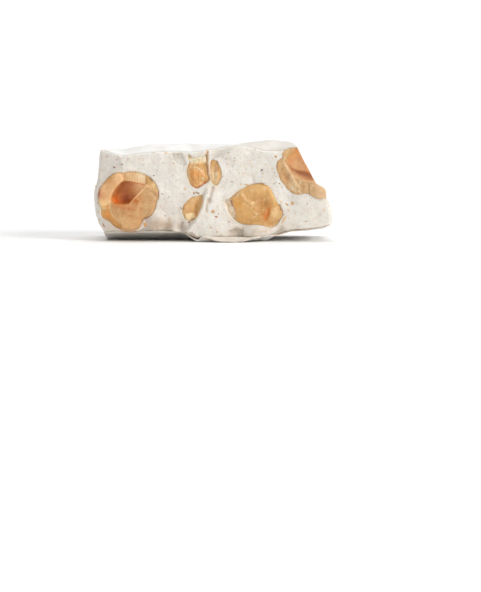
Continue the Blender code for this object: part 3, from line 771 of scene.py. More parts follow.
def c_n1(a, b, d, h):
    p, q = plan(a, b)
    zero = np.zeros(np.shape(a) + (3,))
    n = fbm(a, 0, b, 1.6, 3, 74)
    n2 = fbm(a, 0, b, 0.7, 2, 78)
    col = lin(209, 160, 107) + zero
    col = blend(col, lin(228, 186, 136), 0.55 * smooth(n + 0.3))
    col = blend(col, lin(200, 146, 92), 0.35 * smooth(n2 - 0.1))
    col = blend(col, lin(226, 182, 126), 0.7 * bell(p, q, 124, 222, 12, 8))
    for cp, cq, rp, rq, k in ((136.5, 200.5, 5.5, 4.0, 1.0), (128, 208.5, 6.5, 2.6, 0.75), (131, 215.6, 2.6, 1.2, 0.8), (141.5, 208, 2.0, 1.6, 0.6),
                              (148.5, 197, 3.0, 2.5, 0.35), (117, 206.4, 6, 1.8, 0.5), (143, 219, 2.5, 3.0, 0.4), (124, 213, 3, 2, 0.25)):
        col = blend(col, lin(194, 110, 44), k * bell(p, q, cp, cq, rp, rq) * (0.75 + 0.35 * smooth(n2 + 0.5)))
    col = blend(col, lin(198, 160, 114), 0.70 * smooth((p - 139) / 8.0) * smooth((q - 186) / 6.0))
    col = blend(col, lin(236, 202, 156), 0.40 * smooth(-n2 - 0.25))
    lobe = mask(a, b, LOBE_LEFT, 0.5)
    lc = blend(lin(237, 190, 138) + zero, lin(220, 166, 108), 0.55 * smooth(n2))
    lc = blend(lc, lin(206, 150, 88), 0.6 * bell(p, q, 110, 180, 7, 5, 30))
    lc = blend(lc, lin(224, 190, 146), 0.5 * bell(p, q, 117, 178, 4, 5))
    # painted glow: light shining through the lobe's lower end
    lc = blend(lc, lin(255, 216, 156), 0.95 * bell(p, q, 103.5, 203.5, 7.5, 5.0))
    lc = blend(lc, lin(176, 92, 62), 0.9 * bell(p, q, 98.4, 193.5, 1.6, 5.0))
    lc = blend(lc, lin(232, 158, 108), 0.6 * bell(p, q, 102.5, 195.5, 3.0, 5.0))
    col = blend(col, lc, lobe)
    wall = mask(a, b, TOP_WALL, 0.28)
    wc = lin(235, 198, 150) + zero
    wc = blend(wc, lin(216, 168, 116), 0.50 * (0.5 + 0.5 * np.sin(p * 2.35 + 0.9 * np.sin(q * 0.8) + n2)) * bell(p, q, 132, 177.5, 7, 2.6))
    wc = blend(wc, lin(226, 176, 124), 0.5 * smooth(n + 0.2) * smooth((136 - p) / 8))
    wc = blend(wc, lin(250, 226, 190), 0.7 * bell(p, q, 141, 176, 4, 4))
    wc = blend(wc, lin(208, 158, 108), 0.7 * bell(p, q, 124.5, 176, 2.6, 5))
    wc = blend(wc, lin(206, 142, 88), 0.6 * bell(p, q, 133, 171.4, 8, 0.9))
    col = blend(col, wc, wall)
    chip = mask(a, b, CHIP, 0.3) * (1 - smooth((q - 184.0 - 0.35 * (p - 146.0)) / 6.0))
    cc = blend(lin(216, 174, 118) + zero, lin(234, 202, 154), 0.6 * smooth(n2 + 0.2))
    cc = blend(cc, lin(156, 104, 76), 0.9 * bell(p, q, 151.8, 178.6, 3.2, 1.6, 40))
    cc = blend(cc, lin(200, 150, 88), 0.8 * bell(p, q, 147.4, 180.5, 1.4, 5.0))
    cc = blend(cc, lin(238, 206, 156), 0.9 * bell(p, q, 153.0, 184.8, 2.4, 2.4))
    cc = blend(cc, lin(206, 150, 92), 0.6 * bell(p, q, 150.8, 188.0, 2.4, 1.0, 35))
    col = blend(col, cc, chip)
    # the hollow: partly the kernel's own browner inside and partly painted shade, darkest at its deepest point and at
    # its upper left; painted light on its upper right wall, and a painted orange glow of light through the kernel at
    # its lower left
    s, inside = cavity_depth(a, b, p, q)
    hc = lin(192, 117, 54) + zero
    hc = blend(hc, lin(230, 180, 130), 0.95 * smooth((p - 127) / 15.0) * smooth((199 - q) / 9.0))
    hc = blend(hc, lin(172, 82, 34), 0.95 * bell(p, q, 125.5, 200.0, 8.0, 5.5))
    hc = blend(hc, lin(178, 106, 62), 0.6 * bell(p, q, 122, 189, 6, 6))
    hc = blend(hc, lin(248, 128, 6), 0.95 * bell(p, q, 113.2, 201.8, 5.4, 4.8))
    hc = blend(hc, lin(190, 104, 60), 0.30 * smooth(fbm(a, 0, b, 1.2, 2, 75)))
    hc = blend(hc, lin(214, 150, 112), 0.55 * bell(p, q, 130.5, 197.2, 2.2, 1.4))
    col = blend(col, hc, inside)
    line = near(a, b, P_([(124.2, 180.8), (134, 182.0), (145.6, 184.4)]))
    col = blend(col, lin(196, 108, 48), 0.75 * np.exp(-((line / 0.14) ** 2)) * smooth((146.5 - p) / 3.0))
    rim = near(a, b, P_(RIM_RIGHT[:4]))
    col = blend(col, lin(240, 204, 158), 0.60 * np.exp(-((rim / 0.22) ** 2)) * (0.3 + 0.7 * smooth((200 - q) / 10.0)))
    # painted glow of light through the kernel along the hollow's lower rim
    foot = near(a, b, P_(RIM_FOOT))
    col = blend(col, lin(218, 148, 82), 0.50 * np.exp(-((foot / 0.60) ** 2)))
    low = mask(a, b, LOWER_LEFT, 0.3)
    gc = lin(232, 174, 104) + zero
    gc = blend(gc, lin(255, 168, 76), 0.85 * bell(p, q, 107.0, 215.0, 3.6, 4.2, -30))
    gc = blend(gc, lin(250, 212, 152), 0.8 * bell(p, q, 102.5, 208.5, 3.4, 2.8))
    gc = blend(gc, lin(224, 170, 104), 0.5 * smooth(n2))
    col = blend(col, gc, low)
    seam = near(a, b, P_(SEAM))
    col = blend(col, lin(246, 214, 166), 0.75 * np.exp(-((seam / 0.20) ** 2)))
    # skin left round the rim at the right
    for cp, cq, rp, rq in ((157.4, 185.4, 1.2, 0.9), (159.0, 194, 0.9, 4.6), (157.6, 202.5, 0.9, 1.6), (150.5, 216.8, 2.5, 0.6), (98.6, 208.0, 0.8, 1.4)):
        col = blend(col, lin(152, 96, 62), 0.7 * bell(p, q, cp, cq, rp, rq))
    edge = np.exp(-((d + 0.02) / 0.13) ** 2) * smooth(perlin(a, 0, b, 1.6, 79) + 0.35)
    return blend(col, lin(196, 140, 92), 0.35 * edge)


# --- two narrow sections at the top
def flecks(col, p, q, spots, colour, strength):
    """Small irregular marks: place, half length and half width in plan units, turn."""
    for cp, cq, rp, rq, turn in spots:
        col = blend(col, colour, strength * bell(p, q, cp, cq, rp, rq, turn))
    return col


# spots of painted glints on the glassy break, each also dented a little
PAINTED_GLINTS_N2 = [(194.2, 167.0, 0.8, 1.2, 0), (198.4, 168.0, 2.4, 0.7, 35), (201.6, 170.4, 1.0, 0.6, 30), (200.2, 183.6, 0.7, 1.2, 10), (203.0, 178.4, 0.8, 1.0, 20),
             (191.6, 163.0, 0.9, 0.7, 0), (196.8, 162.4, 1.8, 0.7, 20)]


def h_n2(a, b, d):
    p, q = plan(a, b)
    h = 0.22 - 0.75 * bell(p, q, 195, 175, 8, 12) + 0.25 * bell(p, q, 204, 166, 2.5, 8)
    h = h + 0.18 * fbm(a * 1.3, 0, b, 1.2, 3, 80) + 0.16 * np.abs(perlin(a, 0, b, 0.8, 82))
    h = h + 0.40 * smooth((160 - q) / 7.0)
    h = h + 0.30 * bell(p, q, 203, 181, 3, 3)
    for cp, cq, rp, rq, turn in PAINTED_GLINTS_N2:
        h = h - 0.10 * bell(p, q, cp, cq, rp, rq, turn)
    h = h + 0.8 * np.exp(-((near(a, b, P_([(207.7, 150), (207.6, 165), (208.9, 174), (210.2, 178.0)])) / 0.22) ** 2))
    return h


def c_n2(a, b, d, h):
    p, q = plan(a, b)
    n = fbm(a, 0, b, 1.3, 3, 83)
    n2 = fbm(a, 0, b, 0.6, 2, 84)
    col = lin(226, 174, 110) + np.zeros(np.shape(a) + (3,))
    col = blend(col, lin(238, 204, 150), 0.65 * smooth(n + 0.2))
    col = blend(col, lin(214, 150, 84), 0.40 * smooth(n2))
    col = blend(col, lin(234, 156, 76), 0.85 * bell(p, q, 195.8, 174, 5.0, 4.2) * (0.8 + 0.3 * n2))
    col = blend(col, lin(222, 168, 106), 0.55 * bell(p, q, 195, 181, 6, 4))
    col = blend(col, lin(255, 246, 222), 0.95 * smooth((165.0 - q + 4.0 * n) / 6.0))
    col = blend(col, lin(240, 190, 108), 0.65 * bell(p, q, 190.0, 157.0, 2.2, 1.8))
    col = blend(col, lin(240, 200, 140), 0.5 * bell(p, q, 199.5, 162.5, 5, 2.5))
    col = blend(col, lin(232, 202, 166), 0.85 * smooth((190.6 - p) / 2.6) * smooth((q - 160) / 6.0))
    col = blend(col, lin(236, 188, 124), 0.6 * bell(p, q, 204.5, 172, 3.2, 9))
    # painted glints on the glassy break
    col = flecks(col, p, q, PAINTED_GLINTS_N2, lin(252, 240, 216), 0.85)
    skin = near(a, b, P_([(190.4, 184.6), (193.4, 186.6), (197.4, 187.6), (202.3, 184.8), (207.6, 181.6)]))
    col = blend(col, lin(196, 106, 62), 0.85 * np.exp(-((skin / 0.22) ** 2)))
    col = blend(col, lin(200, 118, 58), 0.6 * bell(p, q, 205.0, 182.5, 2.4, 1.2, -30) + 0.5 * bell(p, q, 188.4, 165.5, 0.8, 2.2))
    crack = near(a, b, P_([(207.7, 150), (207.6, 165), (208.9, 174), (210.0, 177.6)]))
    col = blend(col, lin(206, 132, 60), 0.85 * np.exp(-((crack / 0.30) ** 2)))
    return col


def h_n3(a, b, d):
    p, q = plan(a, b)
    h = 0.20 + 0.45 * bell(p, q, 214.2, 170, 2.6, 7.0) - 0.30 * bell(p, q, 217.0, 177, 2.4, 6.0) - 0.2 * bell(p, q, 219.4, 168, 1.4, 6)
    return h + 0.12 * fbm(a, 0, b, 0.9, 3, 85)


def c_n3(a, b, d, h):
    p, q = plan(a, b)
    n = fbm(a, 0, b, 0.9, 3, 86)
    col = lin(216, 170, 114) + np.zeros(np.shape(a) + (3,))
    col = blend(col, lin(234, 208, 168), 0.95 * bell(p, q, 214.8, 176, 3.4, 8.0))
    col = blend(col, lin(210, 172, 118), 0.6 * smooth(n) * bell(p, q, 215, 172, 4, 10))
    col = blend(col, lin(206, 164, 100), 0.7 * bell(p, q, 213.4, 163.8, 2.2, 3.0))
    col = blend(col, lin(186, 120, 56), 0.85 * bell(p, q, 211.4, 161.8, 1.0, 2.2))
    col = blend(col, lin(222, 172, 96), 0.6 * bell(p, q, 220.2, 174.5, 1.4, 4))
    col = blend(col, lin(214, 150, 84), 0.6 * bell(p, q, 210.4, 176.5, 1.0, 4))
    col = blend(col, lin(242, 226, 194), 0.7 * bell(p, q, 216.8, 173.0, 0.8, 1.6, 20) + 0.6 * bell(p, q, 213.4, 179.6, 1.4, 0.8, 40))
    return blend(col, lin(200, 150, 92), 0.45 * np.exp(-((d + 0.06) / 0.16) ** 2))


# --- the one under the step
CHIP4 = [(185.1, 213.3), (190.0, 212.7), (195.3, 212.5), (195.4, 216.8), (191.6, 218.8), (187.8, 220.4), (185.6, 218.6)]


def h_n4(a, b, d):
    p, q = plan(a, b)
    h = 0.10 + 0.018 * (p - 190) - 0.35 * bell(p, q, 190, 208, 6, 8)
    h = h + 0.09 * np.abs(np.sin((p + q * 0.6) * 0.75 + perlin(a, 0, b, 1.0, 87))) * bell(p, q, 196, 202, 6, 6)
    h = h - 0.20 * mask(a, b, CHIP4, 0.3)
    return h + 0.07 * fbm(a, 0, b, 0.9, 3, 88)


def c_n4(a, b, d, h):
    p, q = plan(a, b)
    n = fbm(a, 0, b, 1.0, 3, 89)
    col = lin(216, 172, 116) + np.zeros(np.shape(a) + (3,))
    col = blend(col, lin(202, 154, 96), 0.55 * smooth(n))
    # painted shade on the right side, next to the step
    col = blend(col, lin(208, 160, 102), 0.5 * bell(p, q, 200, 206, 3, 7))
    # painted sheen: a lighter streak across the kernel
    col = blend(col, lin(232, 198, 148), 0.7 * bell(p, q, 194.5, 199, 4, 2.0, -30) + 0.5 * bell(p, q, 198.5, 197.0, 2.2, 1.2, -35))
    col = blend(col, lin(228, 186, 132), 0.45 * bell(p, q, 187.5, 206.5, 2.5, 4))
    # painted light: the right edge is lightened against the step's shadow
    col = blend(col, lin(244, 206, 150), 0.75 * smooth((p - 196.0) / 2.5))
    col = blend(col, lin(246, 224, 180), 0.95 * mask(a, b, CHIP4, 0.32))
    col = blend(col, lin(226, 190, 138), 0.5 * bell(p, q, 187, 217.5, 1.6, 1.6))
    col = blend(col, lin(160, 104, 64), 0.7 * bell(p, q, 183.6, 208.0, 1.0, 1.6) + 0.5 * bell(p, q, 202.4, 198.0, 0.6, 2.4))
    edge = np.exp(-((d + 0.03) / 0.13) ** 2) * smooth(perlin(a, 0, b, 1.4, 90) + 0.5)
    return blend(col, lin(178, 122, 72), 0.45 * edge)


# --- the large yellow one
FLAKE5 = [(222, 196), (227.6, 198.4), (231.6, 199.0), (232.6, 203), (234.6, 209), (236.4, 217.5), (232, 217), (224, 208)]
GROOVE5 = [(269.6, 206.0), (268.8, 209.5), (268.0, 213.0), (266.4, 217.0), (264.6, 220.5)]
# spots of painted glints on the yellow kernel, each also dented a little
PAINTED_GLINTS_N5 = [(264.2, 199.4, 0.6, 1.1, 20), (252.6, 202.6, 2.6, 0.8, -25), (251.4, 207.6, 0.7, 0.6, 0), (256.6, 213.4, 1.6, 0.6, 8), (254.2, 216.4, 2.0, 0.5, -20),
             (242.4, 193.6, 0.5, 0.9, -35), (263.6, 209.6, 0.6, 0.8, 0), (245.8, 198.4, 0.5, 0.8, -30), (248.6, 221.0, 0.8, 0.5, 0), (274.2, 224.4, 0.7, 1.0, 40)]


def h_n5(a, b, d):
    p, q = plan(a, b)
    core = 1.15 * np.clip(1 - ((p - 253) / 26.0) ** 2 - ((q - 206) / 23.5) ** 2, 0, 1) ** 0.6
    core = core + 0.40 * bell(p, q, 258, 190, 12, 5) - 0.22 * bell(p, q, 256, 197.5, 12, 2.6, 8) + 0.30 * bell(p, q, 243, 207, 7, 7)
    core = core - 0.55 * bell(p, q, 264, 205, 5.5, 8.0, 20) + 0.20 * bell(p, q, 252, 219, 9, 2.4)
    h = 0.25 - core
    groove = near(a, b, P_(GROOVE5))
    h = h + 0.30 * np.exp(-((groove / 0.38) ** 2)) * smooth((q - 205) / 5.0) * (1 - smooth((q - 216) / 6.0))
    h = h - 0.42 * bell(p, q, 275.5, 214.5, 6.0, 7.5, 10) - 0.30 * bell(p, q, 270.5, 193, 3.0, 10, -22)
    flake = mask(a, b, FLAKE5, 0.5)
    h = h + flake * (0.40 + 0.22 * perlin(a, 0, b, 0.7, 92))
    ridge = near(a, b, P_([(239, 190.5), (242.0, 196), (246, 200.5), (252, 203.5)]))
    h = h - 0.14 * np.exp(-((ridge / 0.40) ** 2))
    for cp, cq, rp, rq, turn in PAINTED_GLINTS_N5:
        h = h - 0.07 * bell(p, q, cp, cq, rp, rq, turn)
    ridged = np.abs(perlin(a, 0, b, 2.1, 95)) - np.abs(perlin(a, 0, b, 1.0, 96)) * 0.5
    return h + 0.13 * fbm(a, 0, b, 2.2, 3, 90) + 0.16 * ridged + 0.03 * perlin(a, 0, b, 0.4, 91)


def c_n5(a, b, d, h):
    p, q = plan(a, b)
    n = fbm(a, 0, b, 2.0, 3, 93)
    n2 = fbm(a, 0, b, 0.7, 2, 97)
    col = lin(220, 174, 112) + np.zeros(np.shape(a) + (3,))
    col = blend(col, lin(232, 192, 132), 0.55 * smooth(n + 0.3))
    col = blend(col, lin(208, 154, 90), 0.35 * smooth(n2))
    # painted highlight along the upper edge
    col = blend(col, lin(234, 190, 126), 0.75 * bell(p, q, 256, 189, 13, 5))
    col = blend(col, lin(240, 206, 154), 0.6 * bell(p, q, 252, 190.5, 3.5, 2.0, -30) + 0.5 * bell(p, q, 266, 187, 3.0, 2.0, 20))
    col = blend(col, lin(206, 148, 84), 0.75 * bell(p, q, 263, 204, 7, 8, 20))
    col = blend(col, lin(236, 176, 92), 0.70 * bell(p, q, 238, 203, 5, 6))
    col = blend(col, lin(238, 188, 118), 0.6 * bell(p, q, 244, 215, 7, 6))
    # painted highlight on the bulge
    col = blend(col, lin(238, 202, 144), 0.7 * bell(p, q, 252, 203.5, 4, 2.6, -15))
    col = blend(col, lin(216, 162, 94), 0.55 * bell(p, q, 250, 198.5, 9, 1.8, 10))
    col = blend(col, lin(212, 158, 92), 0.5 * bell(p, q, 251, 220, 9, 2.6))
    groove = near(a, b, P_(GROOVE5))
    col = blend(col, lin(226, 146, 62), 0.60 * bell(p, q, 265.5, 214, 4.2, 5.5, 15))
    col = blend(col, lin(228, 132, 40), 0.90 * np.exp(-((groove / 0.42) ** 2)) * smooth((q - 204.5) / 4.0) * (1 - smooth((q - 217) / 5.0)))
    col = blend(col, lin(241, 208, 158), 0.85 * bell(p, q, 276, 213.5, 4.5, 6.5, 10))
    col = blend(col, lin(240, 196, 126), 0.65 * bell(p, q, 272, 195, 3.0, 8.5, -24))
    col = blend(col, lin(216, 158, 90), 0.6 * bell(p, q, 270.5, 223.5, 3.5, 2.0))
    flake = mask(a, b, FLAKE5, 0.45)
    fc = blend(lin(255, 242, 226) + np.zeros(np.shape(a) + (3,)), lin(234, 204, 166), 0.7 * smooth(1.6 * perlin(a, 0, b, 0.45, 94) + 0.1))
    col = blend(col, fc, 0.92 * flake)
    top_flake = bell(p, q, 237.8, 194.0, 3.6, 1.5, -38)
    col = blend(col, lin(240, 222, 190), 0.8 * top_flake * smooth(1.5 + 2.0 * n2))
    red = near(a, b, P_([(231.2, 200.0), (232.4, 205.4)]))
    col = blend(col, lin(182, 96, 46), 0.9 * np.exp(-((red / 0.20) ** 2)))
    col = blend(col, lin(176, 104, 60), 0.8 * bell(p, q, 235.4, 195.4, 2.0, 0.5, -38))
    # painted glints
    col = flecks(col, p, q, PAINTED_GLINTS_N5, lin(250, 230, 192), 0.75)
    col = blend(col, lin(140, 62, 42), 0.9 * bell(p, q, 281.3, 207.8, 1.0, 1.8) + 0.9 * bell(p, q, 279.6, 220.4, 1.3, 1.1))
    edge = np.exp(-((d + 0.02) / 0.14) ** 2) * smooth(perlin(a, 0, b, 1.7, 98) + 0.3)
    return blend(col, lin(198, 140, 78), 0.40 * edge)


# --- the kernel at the corner, cut by the slanted end
N6 = outline(N6_FRONT, 200)
C6 = (float(px(300.0)), float(pz(180.0)))
B6 = (20.9, 17.1)  # x and z of the middle of its body
N6_SCOOP = [(299.0, 141), (296.4, 146.6), (292.4, 152.0), (288.4, 157.0), (286.0, 160.2), (289.4, 164.6), (293.0, 168.0), (298.0, 169.6), (305.0, 170.6), (313.0, 174.0), (320, 170), (312, 143)]
N6_BAND = [(285.0, 161.0), (288.0, 163.6), (292.0, 167.4), (298, 169.4), (305, 170.2), (312.0, 173.0), (316.0, 181.4), (308, 179.6), (300.0, 176.6), (294.0, 172.6), (289.4, 167.8)]
N6_LOBE = [(308.8, 187.4), (310.0, 185.4), (312.6, 184.2), (317.2, 183.4), (328, 186), (330, 199), (316, 200), (311.0, 194.8), (308.8, 191.6)]
N6_LOWER = [(290, 173), (298, 177), (306, 179.5), (316, 183), (309, 187), (309, 195), (296, 195), (288, 184)]


def h_n6(a, b, d):
    p, q = plan(a, b)
    h = -0.10 + 0 * a
    scoop = mask(a, b, N6_SCOOP, 1.1)
    h = h + scoop * (0.55 + 1.0 * bell(p, q, 299, 161, 10, 9))
    band = mask(a, b, N6_BAND, 1.2)
    h = h + band * (1 - scoop) * 1.1
    lower = mask(a, b, N6_LOWER, 1.0)
    h = h - lower * 0.20 + lower * 0.14 * fbm(a, 0, b, 1.3, 3, 96)
    stripe = near(a, b, P_([(283.8, 157.0), (286.4, 165.0), (290.0, 173.0), (294.0, 180.5), (298.4, 187.5)]))
    h = h - 0.18 * np.exp(-((stripe / 0.35) ** 2))
    h = h + 0.25 * bell(p, q, 286.5, 178, 3.0, 5.0, -30) + 0.2 * bell(p, q, 281, 166, 1.6, 6)
    lobe = mask(a, b, N6_LOBE, 0.45)
    h = h - lobe * (0.25 + 0.4 * bell(p, q, 318, 191, 7, 6)) + 0.16 * np.exp(-((near(a, b, P_([(309.0, 186.6), (309.2, 193.0)])) / 0.25) ** 2))
    return h + 0.07 * fbm(a, 0, b, 1.2, 3, 97) * (1 - 0.6 * scoop)


def c_n6(a, b, d, h):
    p, q = plan(a, b)
    zero = np.zeros(np.shape(a) + (3,))
    n = fbm(a, 0, b, 1.5, 3, 98)
    n2 = fbm(a, 0, b, 0.7, 2, 99)
    col = lin(212, 172, 122) + zero
    col = blend(col, lin(198, 148, 96), 0.50 * smooth(n + 0.1))
    col = blend(col, lin(228, 194, 148), 0.50 * smooth(-n2 + 0.1))
    col = blend(col, lin(226, 192, 146), 0.7 * bell(p, q, 281.0, 163.0, 1.6, 3.5))
    col = blend(col, lin(198, 146, 92), 0.65 * bell(p, q, 286.6, 177, 3.0, 4.5, -30))
    
    lower = mask(a, b, N6_LOWER, 0.9)
    lc = blend(lin(213, 176, 130) + zero, lin(200, 154, 104), 0.5 * smooth(1.4 * perlin(a * 1.8, 0, b * 0.6, 0.9, 99)))
    col = blend(col, lc, lower)
    col = blend(col, lin(244, 222, 190), 0.75 * bell(p, q, 292.0, 187.0, 4.5, 2.6, 40))
    d5, k5 = cells(a, 0 * a, b, 0.75, 9)
    col = blend(col, lin(248, 234, 208), 0.85 * smooth((0.30 - d5) / 0.12) * (k5 > 0.6) * np.maximum(lower, 0.5 * smooth((q - 176) / 4)))
    col = flecks(col, p, q, [(300.6, 183.0, 0.6, 1.1, 0), (298.8, 190.8, 0.9, 1.0, 0), (294.0, 171.5, 0.8, 0.5, 0), (292.6, 188.6, 1.6, 0.8, 35)], lin(252, 244, 224), 0.85)
    stripe = near(a, b, P_([(283.4, 156.4), (285.8, 164.0), (288.6, 171.0), (292.4, 178.5), (296.6, 185.5)]))
    col = blend(col, lin(236, 212, 174), 0.80 * np.exp(-((stripe / 0.38) ** 2)))
    col = blend(col, lin(238, 210, 162), 0.85 * bell(p, q, 286.8, 151.6, 4.5, 2.4, -38))
    col = blend(col, lin(214, 148, 84), 0.55 * bell(p, q, 284.4, 155.2, 0.7, 4.0, 30) + 0.5 * bell(p, q, 290.2, 149.0, 3.0, 0.6, -30))
    scoop = mask(a, b, N6_SCOOP, 0.85)
    sc = blend(lin(224, 168, 112) + zero, lin(214, 156, 98), 0.5 * smooth(n))
    sc = blend(sc, lin(218, 148, 82), 0.65 * bell(p, q, 296, 150.5, 4, 5))
    sc = blend(sc, lin(228, 182, 140), 0.8 * bell(p, q, 302, 163.5, 5.5, 4.5))
    sc = blend(sc, lin(214, 146, 92), 0.7 * bell(p, q, 290, 161.5, 4, 2.5, 40))
    sc = blend(sc, lin(236, 186, 120), 0.5 * bell(p, q, 295.0, 155.0, 2.0, 2.0))
    col = blend(col, sc, scoop)
    band = mask(a, b, N6_BAND, 1.1)
    bc = blend(lin(200, 136, 90) + zero, lin(166, 100, 68), 0.85 * bell(p, q, 303, 173.2, 9, 1.7, 13))
    bc = blend(bc, lin(206, 142, 96), 0.7 * bell(p, q, 288.0, 165.5, 2.5, 3))
    bc = blend(bc, lin(202, 138, 100), 0.6 * bell(p, q, 307, 177.8, 6, 1.0, 16))
    col = blend(col, bc, 0.92 * band)
    lobe = mask(a, b, N6_LOBE, 0.35)
    oc = blend(lin(224, 192, 152) + zero, lin(212, 172, 124), 0.6 * bell(p, q, 314, 192, 4, 5))
    oc = blend(oc, lin(232, 204, 166), 0.5 * bell(p, q, 321, 188, 4, 2.5, 25))
    col = blend(col, oc, lobe)
    col = blend(col, lin(186, 138, 92), 0.6 * bell(p, q, 309.0, 190.0, 0.6, 4.0))
    edge = np.exp(-((d + 0.03) / 0.16) ** 2) * smooth(perlin(a, 0, b, 1.7, 101) + 0.3) * (1 - smooth((p - 300) / 8))
    return blend(col, lin(190, 138, 88), 0.5 * edge)


def cut_n6(theta):
    """How far a direction ends on the slanted end and not in the nougat, from 0 to 1."""
    a0 = math.atan2(float(pz(146.0)) - C6[1], float(px(296.4)) - C6[0])
    a1 = math.atan2(float(pz(196.0)) - C6[1], float(px(324.8)) - C6[0])
    return smooth((a0 + 0.02 - theta) / 0.08) * smooth((theta - a1 + 0.02) / 0.10)


def end_bowl(y, z):
    """The hollow where the slanted end cuts the corner kernel: 0 outside to 1 inside."""
    s, t = (y + 13.0) / 8.4, (z - 17.1) / 6.2
    return s, t, smooth((0.60 - np.hypot(s / 1.05, (t - 0.22) / 0.75)) / 0.14)


def wall_n6(theta, s, edge3):
    """Behind the corner kernel's front face: its round body, cut off by the slanted end."""
    shrink = math.sqrt(max(0.0008, 1.0 - s**2))
    level = smooth(s / 0.4)
    y = edge3[:, 1] + 9.2 * s + (-13.9 - edge3[:, 1]) * level
    x = B6[0] + (edge3[:, 0] - B6[0]) * shrink
    z = B6[1] + (edge3[:, 2] - B6[1]) * shrink
    z = np.minimum(z, top(x, y) - 0.35)
    end = right(y, np.clip(z, 4.5, 23)) + 0.03
    carve = end_bowl(y, z)[2] * 0.75 * smooth((y + 12.4) / 2.5)
    c = cut_n6(theta) * smooth(s / 0.04)
    x = x * (1 - c) + (end - carve) * c
    return np.stack([np.minimum(x, end), y, z], -1)


def wall_paint_n6(P):
    """Colours of that body where the slanted end cuts it."""
    y, z = P[..., 1], P[..., 2]
    s, t, bowl = end_bowl(y, z)
    r = np.hypot(s, t)
    n = fbm(P[..., 0], y, z, 1.5, 3, 102)
    col = blend(lin(222, 182, 130) + np.zeros(P.shape), lin(206, 156, 100), 0.5 * smooth(n))
    col = blend(col, lin(242, 218, 176), 0.6 * np.exp(-(((bowl - 0.2) / 0.2) ** 2)))
    # the bowl: partly the kernel's own browner inside and partly painted shade, darkest towards its middle
    col = blend(col, blend(lin(214, 146, 90) + np.zeros(P.shape), lin(168, 104, 70), 0.8 * bell(s, t, 0.1, -0.1, 0.5, 0.16)), bowl)
    return blend(col, lin(196, 142, 90), 0.6 * smooth((r - 0.86) / 0.12))


def generic(kind, ca, cb, ra, rb, turn, seed):
    """Height map and colours for a kernel on a face that the camera doesn't show."""
    co, si = math.cos(math.radians(turn)), math.sin(math.radians(turn))

    def local(a, b):
        da, db = a - ca, b - cb
        return (da * co + db * si) / ra, (-da * si + db * co) / rb

    def height(a, b, d):
        s, t = local(a, b)
        r = np.hypot(s, t)
        n = fbm(a, 0, b, 1.3, 3, seed)
        if kind == "section":
            split = 0.30 * np.exp(-(((s + 0.06 * np.sin(t * 4)) / 0.07) ** 2)) * smooth((0.9 - r) / 0.2)
            return 0.02 - 0.10 * (1 - r**2) + split + 0.30 * bell(s, t, 0.02, 0.1, 0.16, 0.42) + 0.05 * n
        if kind == "hollow":
            bowl = smooth((0.62 - np.hypot((s + 0.08) / 1.0, (t - 0.12) / 0.8)) / 0.12)
            return -0.25 * (1 - r**2) + bowl * (0.35 + 0.42 * ra * np.clip(0.62 - r, 0, 1)) - 0.2 * bell(s, t, 0.1, -0.6, 0.5, 0.25) + 0.05 * n
        if kind == "glassy":
            return 0.20 - 0.75 * np.clip(1 - r**2, 0, 1) + 0.18 * n + 0.12 * np.abs(perlin(a, 0, b, 0.8, seed + 5))
        return 0.15 - 0.9 * np.sqrt(np.clip(1 - (r / 1.06) ** 2, 0, 1)) + 0.08 * n

    def paint(a, b, d, h):
        s, t = local(a, b)
        r = np.hypot(s, t)
        n = fbm(a, 0, b, 1.6, 3, seed + 1)
        col = blend(lin(218, 172, 116) + np.zeros(np.shape(a) + (3,)), lin(232, 194, 142), 0.6 * smooth(n + 0.3))
        if kind == "section":
            col = blend(col, lin(238, 210, 166), 0.75 * bell(s, t, 0, 0, 0.55, 0.6))
            col = blend(col, lin(196, 132, 76), 0.75 * np.exp(-(((s + 0.06 * np.sin(t * 4)) / 0.06) ** 2)) * smooth((0.85 - r) / 0.2))
            col = blend(col, lin(200, 146, 90), 0.6 * smooth((r - 0.78) / 0.2))
        elif kind == "hollow":
            bowl = smooth((0.62 - np.hypot((s + 0.08) / 1.0, (t - 0.12) / 0.8)) / 0.10)
            # the hollow: partly the kernel's own browner inside and partly painted shade, darkest towards its middle
            inner = blend(lin(184, 116, 70) + np.zeros(np.shape(a) + (3,)), lin(148, 78, 42), 0.8 * bell(s, t, -0.05, -0.05, 0.35, 0.3))
            inner = blend(inner, lin(214, 150, 102), 0.6 * smooth((t - 0.1) / 0.4))
            col = blend(col, lin(240, 212, 168), 0.6 * np.exp(-((bowl - 0.3) / 0.25) ** 2))
            col = blend(col, inner, bowl)
        elif kind == "glassy":
            col = blend(col, lin(224, 152, 74), 0.7 * bell(s, t, 0.1, -0.1, 0.5, 0.5))
            col = blend(col, lin(240, 214, 172), 0.8 * smooth((t - 0.35 + 0.3 * n) / 0.4))
        else:
            col = blend(col, lin(206, 150, 88), 0.6 * smooth(n))
            skin = smooth((perlin(a, 0, b, 2.6, seed + 7) - 0.25) / 0.12)
            col = blend(col, lin(150, 84, 48), 0.75 * skin)
        return blend(col, lin(190, 130, 80), 0.45 * np.exp(-((d + 0.04) / 0.16) ** 2) * smooth(perlin(a, 0, b, 1.6, seed + 9) + 0.35))

    return height, paint


